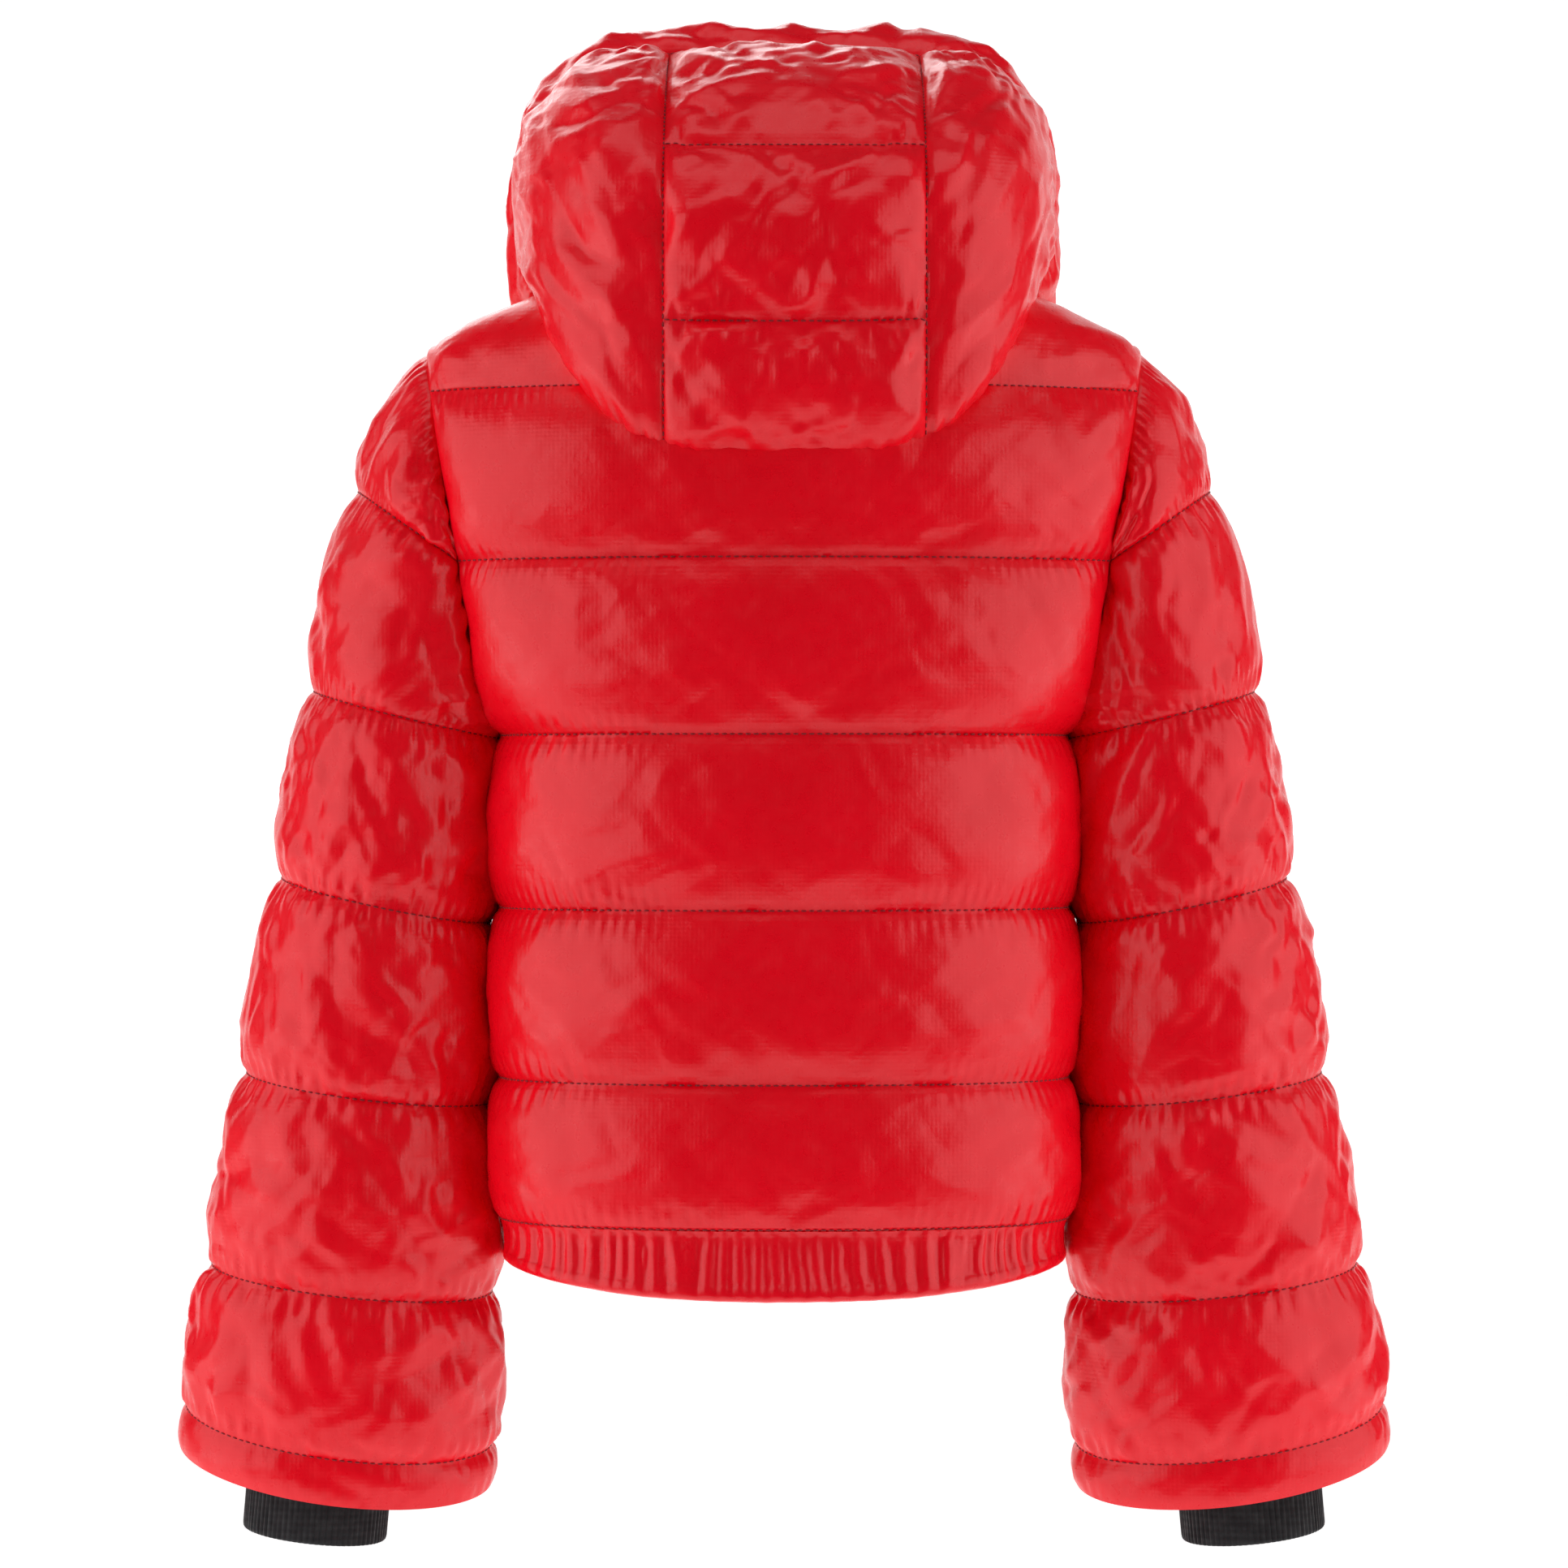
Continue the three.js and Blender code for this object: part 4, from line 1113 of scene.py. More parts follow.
def stitch_beads(
    line: Array, out: Array, pitch: float = 4.4 * MM, length: float = 3.1 * MM, radius: float = 0.42 * MM
) -> tuple[Array, Array]:
    """Raised stitches along a line: each is a hexagonal bead with four rings, thin at its ends.

    Args:
        line: the line, shape (n, 3).
        out: the cloth's normals along it.
        pitch: distance between stitches.
        length: a stitch's length.
        radius: half of its thickness.

    Returns:
        The beads' points, and their quads.
    """
    total = np.linalg.norm(np.diff(line, axis=0), axis=1).sum()
    count = max(int(total / pitch), 1)
    shares = (np.arange(count) + 0.5) / count
    centre, up = resample(line, shares), unit(resample(out, shares))
    near = 0.35 / count
    along = unit(
        resample(line, np.clip(shares + near, 0, 1)) - resample(line, np.clip(shares - near, 0, 1))
    )
    across = unit(np.cross(along, up))
    angle = np.arange(6) * math.pi / 3
    ring = np.cos(angle)[None, :, None] * across[:, None] + np.sin(angle)[None, :, None] * up[:, None]
    place = np.array([-0.5, -0.3, 0.3, 0.5]) * length
    thick = np.array([0.25, 1.0, 1.0, 0.25]) * radius
    lift = np.array([-0.3, 0.7, 0.7, -0.3]) * radius
    body = centre[:, None] + along[:, None] * place[None, :, None] + up[:, None] * lift[None, :, None]
    body = body[:, :, None] + ring[:, None] * thick[None, :, None, None]
    index = np.arange(count * 24).reshape(count, 4, 6)
    nexts = np.roll(index, -1, axis=2)
    sides = np.stack([index[:, :-1], index[:, 1:], nexts[:, 1:], nexts[:, :-1]], axis=-1).reshape(-1, 4)
    first = [index[:, 0][:, corners] for corners in ([0, 1, 2, 3], [0, 3, 4, 5])]
    last = [index[:, 3][:, corners] for corners in ([3, 2, 1, 0], [5, 4, 3, 0])]
    return body.reshape(-1, 3), np.concatenate([sides, *first, *last])


# ---------------------------------------------------------------- quilted panels
Attach = Callable[[Object], object]


@dataclass
class Quilted:
    """A panel of stuffed channels between stitched seams, with the sheet of lining behind it.

    Attributes:
        shop: makes the objects.
        name: the panel's name.
        flat: the surface through its seams, shape (rows, columns, 3).
        seams: its seam rows, from the first row to the last.
        pieces: for each channel, its name and the CAD nodes that it stands for.
        attach: ties an object to its body.
        puff: how far a channel stands out.
        closed: whether the columns run round into each other.
        creases: folds laid over the relaxed cloth.
        pinned: further points that are stitched down, or None.
        thick: depth of the filling behind the seams.
        behind: gap between the filling and the lining, with the lining.
        finish: the shell's finish.
        slot: the material slot of its pieces; not used.
        stitched: seam rows that carry stitches, or None for every one.
        rough: height of the pressed-in facets.
        wave: length of the widest facets.
        heights: share of the puff that each channel gets, or None for all of it.
        settings: settings of the cloth that differ from its defaults.
        made: the pieces built so far.
    """

    shop: Workshop
    name: str
    flat: Array
    seams: list[int]
    pieces: Pieces
    attach: Attach
    puff: float = 8 * MM
    closed: bool = False
    thick: float = 9 * MM
    behind: float = 3.5 * MM
    finish: Finish = SHELL
    slot: str = "glossy_shell"
    creases: tuple[Crease, ...] = ()
    pinned: Array | None = None
    stitched: tuple[int, ...] | None = None
    rough: float = 0.6 * MM
    wave: float = 60 * MM
    heights: tuple[float, ...] | None = None
    settings: dict[str, float] = field(default_factory=dict)
    made: list[Object] = field(default_factory=list)

    def bulge(self) -> Array:
        """How far each point is lifted: pillow(share across the channel), less towards the panel's ends.

        Returns:
            Lifts of shape (rows, columns).
        """
        rows, columns = self.flat.shape[:2]
        share = np.concatenate(
            [np.arange(b - a) / (b - a) for a, b in zip(self.seams, self.seams[1:])] + [[1.0]]
        )
        across = pillow(share)[:, None]
        heights = self.heights or (1.0,) * (len(self.seams) - 1)
        counts = [b - a for a, b in zip(self.seams, self.seams[1:])]
        across *= np.append(np.repeat(heights, counts), 0.0)[:, None]
        lifted = self.puff * across * np.ones(columns)
        if self.closed:
            return lifted
        width = np.linalg.norm(np.diff(self.flat, axis=1), axis=-1)
        place = np.concatenate([np.zeros((rows, 1)), np.cumsum(width, axis=1)], axis=1)
        near = np.minimum(place, place[:, -1:] - place)
        return lifted * np.clip(near / (18 * MM), 0, 1) ** 0.6

    def build(self) -> list[Object]:
        """Relaxes the cloth, folds it, and makes a pad of each channel and the stitching on its seams.

        Returns:
            The pieces made.
        """
        bulge = self.bulge()
        if self.pinned is not None:
            bulge = np.where(self.pinned, 0.0, bulge)
        net = StuffedCloth(self.flat, bulge, self.seams, self.pinned, self.closed, **self.settings)
        cloth = net.relaxed()
        out = grid_normals(self.flat, self.closed)
        seed = int(self.settings.get("seed", 1)) + 100
        share = smooth(bulge / (0.8 * self.puff))
        fine, above = (finer(finer(grid, 0, False), 1, self.closed) for grid in (cloth, share[..., None]))
        relief = self.rough * crumple(fine, seed, self.wave, self.closed)
        for crease in self.creases:
            relief = relief - crease.sink(fine)
        fine = fine + grid_normals(fine, self.closed) * relief[..., None] * np.clip(above, 0, 1)
        backing = (self.flat - out * self.thick)[::2, ::2]
        for (name, nodes), a, b in zip(self.pieces, self.seams, self.seams[1:]):
            made = self.shop.pad(
                name, fine[2 * a : 2 * b + 1], backing[a // 2 : b // 2 + 1], self.finish, self.closed
            )
            self._finish(made, nodes)
        self._stitch(fine, out)
        return self.made

    def _finish(self, made: Object, nodes: tuple[str, ...]) -> None:
        """Hides the CAD nodes that a piece stands for, passes it to attach and keeps it.

        Args:
            made: the finished object.
            nodes: CAD nodes that it stands for.
        """
        if nodes:
            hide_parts(*nodes)
        self.attach(made)
        self.made.append(made)

    def _stitch(self, fine: Array, out: Array) -> None:
        """Stitches along the seams, as one object.

        Args:
            fine: the finished cloth, with twice the rows.
            out: normals of the seam surface.
        """
        rows = self.seams if self.stitched is None else self.stitched
        beads, faces, count = [], [], 0
        for row in rows:
            line, up = fine[2 * row], out[row]
            if self.closed:
                line, up = np.concatenate([line, line[:1]]), np.concatenate([up, up[:1]])
            points, quads = stitch_beads(line, resample(up, np.linspace(0, 1, len(line))))
            beads.append(points)
            faces.append(quads + count)
            count += len(points)
        if beads:
            made = self.shop.object(
                self.name + "_stitching", np.concatenate(beads), [np.concatenate(faces)], THREAD
            )
            self._finish(made, ())

    def lining(self, name: str, nodes: tuple[str, ...], seed: int = 5) -> Object:
        """The sheet of lining behind the panel: the seam surface moved in, with soft waves 2 mm high.

        Args:
            name: the object's name.
            nodes: CAD nodes that it stands for.
            seed: seed of its random numbers.

        Returns:
            The sheet.
        """
        grid = (self.flat - grid_normals(self.flat, self.closed) * (self.thick + self.behind))[::2, ::2]
        waves = soft_noise(grid.shape[:2], (9.0, 5.0), seed)
        ends = np.minimum(np.arange(grid.shape[0]), np.arange(grid.shape[0])[::-1])
        waves *= 1.6 * MM * np.clip(ends / 4, 0, 1)[:, None]
        grid = grid - grid_normals(grid, self.closed) * (np.abs(waves))[..., None]
        return lining_sheet(self.shop, name, grid, nodes, self.attach, self.closed, self.made[0].name)


def lining_sheet(
    shop: Workshop, name: str, grid: Array, nodes: tuple[str, ...], attach: Attach, closed: bool, on: str
) -> Object:
    """A sheet of lining cloth from a grid of points.

    Args:
        shop: makes the objects.
        name: the object's name.
        grid: points, shape (rows, columns, 3).
        nodes: CAD nodes that it stands for.
        attach: ties it to its body.
        closed: whether the columns run round into each other.
        on: name of the piece that it lies on; not used.

    Returns:
        The sheet.
    """
    made = shop.cloth(name, grid, 1.0 * MM, CLOTH, closed)
    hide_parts(*nodes)
    attach(made)
    return made


# ---------------------------------------------------------------- the garment's sub-assemblies
@dataclass
class Trunk:
    """The body: a quilted back and two quilted fronts, each with its lining."""

    shop: Workshop
    form: TrunkForm
    inset: float = 1.0 * MM
    rows: tuple[int, ...] = (20, 24, 24, 24, 24, 18)
    back_columns: int = 137
    front_columns: int = 69
    zip_half: float = 12.5 * MM
    panels: dict[str, Quilted] = field(default_factory=dict)

    @property
    def seams(self) -> list[int]:
        """The seam rows from the hem seam to the shoulder."""
        return [0, *np.cumsum(self.rows).tolist()]

    def build(self, pockets: dict[Side, "PocketZip"]) -> None:
        """Builds the back, the fronts round their pocket zips, and the linings.

        Args:
            pockets: the pocket zip of each side.
        """
        flat = self.form.panel(1, self.inset, list(self.rows), self.back_columns, None)[:, ::-1]
        pieces = [(f"back_channel_{5 - i}", (f"back_baffle_{5 - i}",)) for i in range(5)]
        pieces.append(("back_yoke_pad", ("back_yoke",)))
        self.panels["back"] = self._panel("back", flat, pieces, None, 11)
        for side in Side:
            flat = self.form.panel(-1, self.inset, list(self.rows), self.front_columns, self.zip_half)
            flat = flat * np.array([side.value, 1, 1])
            flat = flat if side is Side.LEFT else flat[:, ::-1]
            flat, pinned = pockets[side].press(flat)
            pieces = [
                (side.name_of(f"front_channel_{5 - i}"), (side.name_of(f"front_baffle_{5 - i}"),))
                for i in range(5)
            ]
            pieces.append((side.name_of("front_yoke_pad"), (side.name_of("front_yoke"),)))
            self.panels[side.name] = self._panel(
                side.name_of("front"), flat, pieces, pinned, 20 + side.value
            )
        for panel in self.panels.values():
            panel.lining(panel.name + "_lining_sheet", ("body_lining",))

    def _panel(self, name: str, flat: Array, pieces: Pieces, pinned: Array | None, seed: int) -> Quilted:
        """One quilted panel that rides on the body.

        Args:
            name: the object's name.
            flat: the surface through its seams.
            pieces: for each channel, its name and the CAD nodes it stands for.
            pinned: points round a pocket zip that are stitched down, or None.
            seed: seed of its random numbers.

        Returns:
            The panel.
        """
        settings = {"seed": seed, "along": -0.004, "across": -0.012}
        made = Quilted(
            self.shop, name, flat, self.seams, pieces, lambda o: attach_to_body(o, "torso"), settings=settings
        )
        made.pinned, made.stitched = pinned, tuple(self.seams[:-1])
        made.puff, made.rough, made.wave = 7 * MM, 0.9 * MM, 80 * MM
        made.build()
        return made


@dataclass
class HemBand:
    """The hem: cloth gathered on an elastic, folded round it from the outside to the inside."""

    shop: Workshop
    form: TrunkForm
    inset: float = 2.5 * MM
    deep: float = 11 * MM
    columns: int = 401
    gap: float = 12.5 * MM

    def build(self) -> None:
        """Builds the folded casing and the elastic that shows at its front ends."""
        flat = self._fold(self.columns)
        rows = len(flat)
        bulge = np.zeros(flat.shape[:2])
        place = np.arange(self.columns) / 5.4 + 0.8 * soft_noise((16, self.columns), (40.0, 9.0), 66)
        height = 2.2 + 1.2 * soft_noise((16, self.columns), (40.0, 7.0), 67)
        pleats = height * (1 - np.abs(2 * (place % 1) - 1)) ** 1.4
        bulge[:16] = (0.6 + pleats) * MM * pillow(np.arange(16) / 15)[:, None]
        bulge[:, :3] = 0
        bulge[:, -3:] = 0
        net = StuffedCloth(flat, bulge, [0, rows - 1], along=0.01, across=0.0, fill=0.01 * MM, rounds=25)
        net.seed, net.reach, net.uneven, net.bend, net.pucker = 61, 3 * MM, 0.5 * MM, 0.03, (16.0, 6.5)
        cloth = finer(finer(net.relaxed(), 0, False), 1, False)
        made = self.shop.cloth("gathered_hem", cloth, 0.8 * MM, HEM, False)
        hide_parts("hem_casing")
        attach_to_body(made, "torso")
        line, out = cloth[0], grid_normals(cloth, False)[0]
        beads, quads = stitch_beads(line + np.array([0, 0, 0.2 * MM]), out)
        stitching = self.shop.object("hem_stitching", beads, [quads], THREAD)
        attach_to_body(stitching, "torso")
        self._elastic()

    def _fold(self, columns: int) -> Array:
        """Rows down the outside, round the lower edge in a half circle, and up the inside.

        Args:
            columns: points in a row.

        Returns:
            Points of shape (rows, columns, 3).
        """
        top, low = self.form.hem_seam - 0.5 * MM, self.form.hem_low + self.deep / 2
        down = [(top + (low - top) * k / 14, self.inset) for k in range(15)]
        turn = [
            (low - self.deep / 2 * math.sin(a), self.inset + self.deep / 2 * (1 - math.cos(a)))
            for a in np.linspace(0, math.pi, 5)[1:]
        ]
        up = [(low + (top - low) * k / 10, self.inset + self.deep) for k in range(1, 11)]
        return np.array([self.form.hem_path(z, inset, columns, self.gap) for z, inset in down + turn + up])

    def _elastic(self) -> None:
        """The woven elastic inside the casing: a thin band with fine ridges along it."""
        levels = np.linspace(-560 * MM, -581 * MM, 33)
        ridge = 0.15 * MM * np.cos(np.arange(33) * math.pi)
        rows = [
            self.form.hem_path(z, self.inset + 7.5 * MM + r, 241, self.gap) for z, r in zip(levels, ridge)
        ]
        made = self.shop.cloth("elastic_band", np.array(rows), 1.2 * MM, BAND, False)
        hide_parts("hem_elastic")
        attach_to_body(made, "torso")


@dataclass
class Collar:
    """The padded stand collar, open at the front, and the hanger loop inside it."""

    shop: Workshop
    half: tuple[float, float] = (78 * MM, 73 * MM)
    middle: float = -13 * MM
    gap: float = 13 * MM

    def build(self) -> None:
        """Builds the collar's pad and the loop."""
        angle = np.radians(np.linspace(-81, 261, 161))
        x, y = self.half[0] * np.cos(angle), self.middle + self.half[1] * np.sin(angle)
        low = (-24 + 4) * MM + 0.4 * (y - 62 * MM)
        top = 62 * MM + 0.28 * (y - 62 * MM)
        share = np.arange(25)[:, None] / 24
        flat = np.stack(np.broadcast_arrays(x, y, lerp(low, top, share)), -1)
        collar = Quilted(
            self.shop, "collar", flat, [0, 24], [("collar_pad", ("stand_collar",))],
            lambda o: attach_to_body(o, "torso"),
        )
        collar.puff, collar.settings, collar.stitched = 5 * MM, {"seed": 71, "reach": 6 * MM}, (24,)
        collar.build()
        self._loop()

    def _loop(self) -> None:
        """The loop of woven tape: up one leg, over the bar in two quarter turns, and down the other."""
        y = (-13 + 62 * math.sqrt(1 - (24 / 67) ** 2) - 1.6) * MM
        bend, half, low, bar = 4 * MM, 21 * MM, 13.4 * MM, 28.6 * MM
        turn = np.linspace(0, math.pi / 2, 7)
        left = np.stack([half - bend + bend * np.cos(turn), bar - bend + bend * np.sin(turn)], 1)
        right = (left * [-1, 1])[::-1]
        plan = np.concatenate(
            [
                [[half, low], [half, low + 5 * MM]], left, [[0, bar]], right,
                [[-half, low + 5 * MM], [-half, low]],
            ]
        )
        path = resample(np.stack([plan[:, 0], np.full(len(plan), y), plan[:, 1]], 1), np.linspace(0, 1, 90))
        along = unit(np.gradient(path, axis=0))
        up = np.zeros_like(path) + [0, -1.0, 0]
        made = self.shop.strip("tape_loop", path, np.cross(up, along), up, (5 * MM, 1.6 * MM), TAPE)
        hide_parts("hanger_loop")
        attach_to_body(made, "torso")


@dataclass
class Sleeve:
    """One sleeve: a cap and channels that run from the body to the arm, its lining, and the knitted cuff."""

    shop: Workshop
    form: SleeveForm
    side: Side
    trunk: Trunk
    inset: float = 0.5 * MM
    rows: tuple[int, ...] = (26, 26, 26, 20, 6)
    columns: int = 112

    def build(self) -> None:
        """Builds the cap, the channel under it, the tube of channels, the lining and the cuff."""
        tube = self.form.tube(self.inset, list(self.rows), self.columns)
        back, front = self._armhole()
        cap_row, under_row = self._joints()
        arc = self.form.cap_ring(np.radians(np.linspace(123, -123, 181)), self.inset)
        arc = self._meet(arc, back[cap_row], front[cap_row])
        over = np.concatenate([back[cap_row + 1 :], front[cap_row + 1 :][::-1]])
        lower = np.concatenate([back[under_row:cap_row], arc, front[under_row:cap_row][::-1]])
        ring = np.concatenate([tube[0], tube[0][:1]]) + np.array([0, 0, -0.5 * MM])
        cap = self._ruled(over, arc, 20, 97)
        channel = self._ruled(lower, ring, 24, 121)
        end, number = self.side.name_of, self.side.value
        self._quilt(
            "cap", cap, [0, 20], [(end("cap_pad"), (end("sleeve_cap"),))], 6.5 * MM, False, 31 + number,
            (20,),
        )
        pieces = [(end("sleeve_channel_2"), (end("sleeve_baffle_2"),))]
        self._quilt("upper", channel, [0, 24], pieces, 6.5 * MM, False, 35 + number, ())
        pieces = [(end(f"sleeve_channel_{i}"), (end(f"sleeve_baffle_{i}"),)) for i in range(3, 7)]
        pieces.append((end("sleeve_band"), (end("sleeve_hem"),)))
        seams = [0, *np.cumsum(self.rows).tolist()]
        self._quilt("arm", tube, seams, pieces, 6 * MM, True, 41 + number, tuple(seams[:-1]))
        self._lining(tube)
        Cuff(self.shop, self.side).build()

    def _armhole(self) -> tuple[Array, Array]:
        """The back's and the front's armhole edges from the hem seam to the shoulder, on the left.

        Returns:
            Both edges, shape (rows, 3).
        """
        back, front = self.trunk.panels["back"].flat, self.trunk.panels["LEFT"].flat
        edges = [
            panel[:, np.argmax(panel[0, [0, -1], 0]) * (panel.shape[1] - 1)] for panel in (back, front)
        ]
        return edges[0], edges[1]

    def _joints(self) -> tuple[int, int]:
        """The rows at which the cap's seam and the underarm meet the armhole."""
        seams = self.trunk.seams
        return seams[4], seams[3]

    @staticmethod
    def _meet(line: Array, start: Array, end: Array) -> Array:
        """A line shifted at its ends so that it starts and ends at given points."""
        t = np.linspace(0, 1, len(line))[:, None]
        return line + (start - line[0]) * (1 - t) ** 4 + (end - line[-1]) * t**4

    @staticmethod
    def _ruled(top: Array, low: Array, rows: int, columns: int) -> Array:
        """A grid of straight lines between two curves: point(v, u) = top(u) + (low(u) - top(u)) v.

        Args:
            top: the first curve.
            low: the second curve.
            rows: steps between the curves.
            columns: points in a row.

        Returns:
            Points of shape (rows + 1, columns, 3).
        """
        shares = np.linspace(0, 1, columns)
        a, b = resample(top, shares), resample(low, shares)
        v = (np.arange(rows + 1) / rows)[:, None, None]
        return lerp(a, b, v)

    def _own_side(self, grid: Array, closed: bool) -> Array:
        """A left grid taken to its own side, turned so that its normals point out of the sleeve.

        Args:
            grid: points, shape (rows, columns, 3).
            closed: whether the columns run round into each other.

        Returns:
            The grid on its own side.
        """
        grid = grid * np.array([self.side.value, 1, 1])
        heart = grid.reshape(-1, 3).mean(0)
        facing = (grid_normals(grid, closed) * (grid - heart)).sum() > 0
        return grid if facing else grid[:, ::-1]

    def _attach(self, made: Object) -> None:
        """Bakes a piece's place into its mesh; it is tied to no body.

        Args:
            made: the finished object.
        """
        s = self.side.value
        start = np.array([169 * s, 0, -274]) * MM
        end = start + 110 * MM * np.array([0.75 * s, 0, -0.66])
        self.side.name_of("sleeve")
        self.shop.place(start)
        self.shop.place(end)
        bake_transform(made)

    def _quilt(
        self, name: str, grid: Array, seams: list[int], pieces: Pieces, puff: float, closed: bool,
        seed: int, stitched: tuple[int, ...],
    ) -> None:
        """Quilts one grid of the sleeve.

        Args:
            name: the part's name.
            grid: points, shape (rows, columns, 3).
            seams: its seam rows.
            pieces: for each channel, its name and the CAD nodes it stands for.
            puff: how far a channel stands out.
            closed: whether the columns run round into each other.
            seed: seed of its random numbers.
            stitched: rows that carry stitches.
        """
        settings = {"seed": seed, "along": 0.004, "across": -0.005}
        folds = tuple(self._mirrored(c) for c in SLEEVE_FOLDS.get((self.side, name), ()))
        panel = Quilted(
            self.shop, self.side.name_of("sleeve_" + name), self._own_side(grid, closed), seams, pieces,
            self._attach, puff, closed,
        )
        panel.settings, panel.stitched, panel.creases = settings, stitched, folds
        panel.rough, panel.wave = 1.9 * MM, 60 * MM
        if closed:
            panel.heights = (1.0, 1.0, 1.0, 1.0, 0.35)
        panel.build()

    def _mirrored(self, crease: Crease) -> Crease:
        """A crease given for the left sleeve, on this side.

        Args:
            crease: a fold of the left sleeve.

        Returns:
            The fold on this side.
        """
        s = self.side.value
        return Crease(
            (crease.start[0] * s, *crease.start[1:]), (crease.end[0] * s, *crease.end[1:]), crease.depth,
            crease.width,
        )

    def _lining(self, tube: Array) -> None:
        """The sleeve's lining: the tube moved in, narrowing below the last full channel to the cuff's top.

        Args:
            tube: the sleeve's rings on the left, shape (rings, columns, 3).
        """
        inner = tube - grid_normals(tube, True) * self._inward(tube) * 13 * MM
        first = sum(self.rows[:3]) - 12
        keep = inner[:first:2]
        angle = math.pi - np.arange(self.columns) * 2 * math.pi / self.columns
        neck, mouth = cuff_ring(-602 * MM, angle, 2.5 * MM), cuff_ring(-640 * MM, angle, 1.5 * MM)
        sock = lerp(inner[first], neck, smooth(np.linspace(0, 1, 12))[1:, None, None])
        straight = lerp(neck, mouth, np.linspace(0, 1, 7)[1:, None, None])
        grid = np.concatenate([keep, sock, straight])[:, ::2] * np.array([self.side.value, 1, 1])
        waves = np.abs(soft_noise(grid.shape[:2], (8.0, 5.0), 90 + self.side.value)) * 2 * MM
        waves *= np.clip((len(grid) - 8 - np.arange(len(grid))) / 5, 0, 1)[:, None]
        outward = unit(grid - grid.mean(axis=1, keepdims=True))
        grid = grid - outward * waves[..., None]
        grid = grid if (grid_normals(grid, True) * outward).sum() > 0 else grid[:, ::-1]
        lining_sheet(
            self.shop, self.side.name_of("sleeve_lining_sheet"), grid,
            (self.side.name_of("sleeve_lining"),), self._attach, True,
            self.side.name_of("sleeve_channel_3"),
        )

    @staticmethod
    def _inward(tube: Array) -> float:
        """The sign that makes the grid's normals point out of the sleeve."""
        middle = tube.mean(axis=1, keepdims=True)
        return 1.0 if (grid_normals(tube, True) * (tube - middle)).sum() > 0 else -1.0


SLEEVE_FOLDS: dict[tuple[Side, str], tuple[Crease, ...]] = {
    (Side.LEFT, "arm"): (
        Crease((0.262, 0.05, -0.300), (0.205, 0.06, -0.350), 3.0 * MM, 7 * MM),
        Crease((0.285, 0.04, -0.400), (0.225, 0.06, -0.455), 3.0 * MM, 8 * MM),
        Crease((0.200, 0.05, -0.405), (0.245, 0.06, -0.470), 2.4 * MM, 6 * MM),
        Crease((0.300, 0.03, -0.510), (0.235, 0.05, -0.575), 3.6 * MM, 8 * MM),
        Crease((0.205, 0.04, -0.500), (0.250, 0.05, -0.545), 2.4 * MM, 6 * MM),
        Crease((0.270, 0.04, -0.600), (0.255, 0.04, -0.665), 3.0 * MM, 7 * MM),
    ),
    (Side.RIGHT, "arm"): (
        Crease((0.270, 0.05, -0.320), (0.210, 0.06, -0.340), 3.0 * MM, 7 * MM),
        Crease((0.215, 0.05, -0.390), (0.270, 0.05, -0.450), 3.0 * MM, 8 * MM),
        Crease((0.300, 0.03, -0.420), (0.250, 0.06, -0.465), 2.4 * MM, 6 * MM),
        Crease((0.220, 0.04, -0.495), (0.280, 0.04, -0.570), 3.6 * MM, 8 * MM),
        Crease((0.320, 0.02, -0.540), (0.275, 0.04, -0.580), 2.4 * MM, 6 * MM),
        Crease((0.240, 0.04, -0.610), (0.265, 0.04, -0.660), 3.0 * MM, 7 * MM),
    ),
}


def cuff_ring(z: float, angle: Array, grow: float | Array = 0.0) -> Array:
    """Points at angles round the left cuff's oval at a height along its lean.

    Args:
        z: height of the ring.
        angle: angles, in radians.
        grow: distance out from the cuff.

    Returns:
        Points of shape (angles, 3).
    """
    slide = unit(np.array([0.0973, -0.12, -1.0]))
    centre = np.array([276, -38, -742]) * MM + slide * ((z + 742 * MM) / slide[2])
    out = unit(np.array([1, 0, math.tan(math.radians(5.5))]))
    rear = unit(np.array([0, 1, -math.tan(math.radians(7))]))
    half, deep = 42 * MM + grow, 30 * MM + grow
    return centre + np.outer(half * np.cos(angle), out) + np.outer(deep * np.sin(angle), rear)


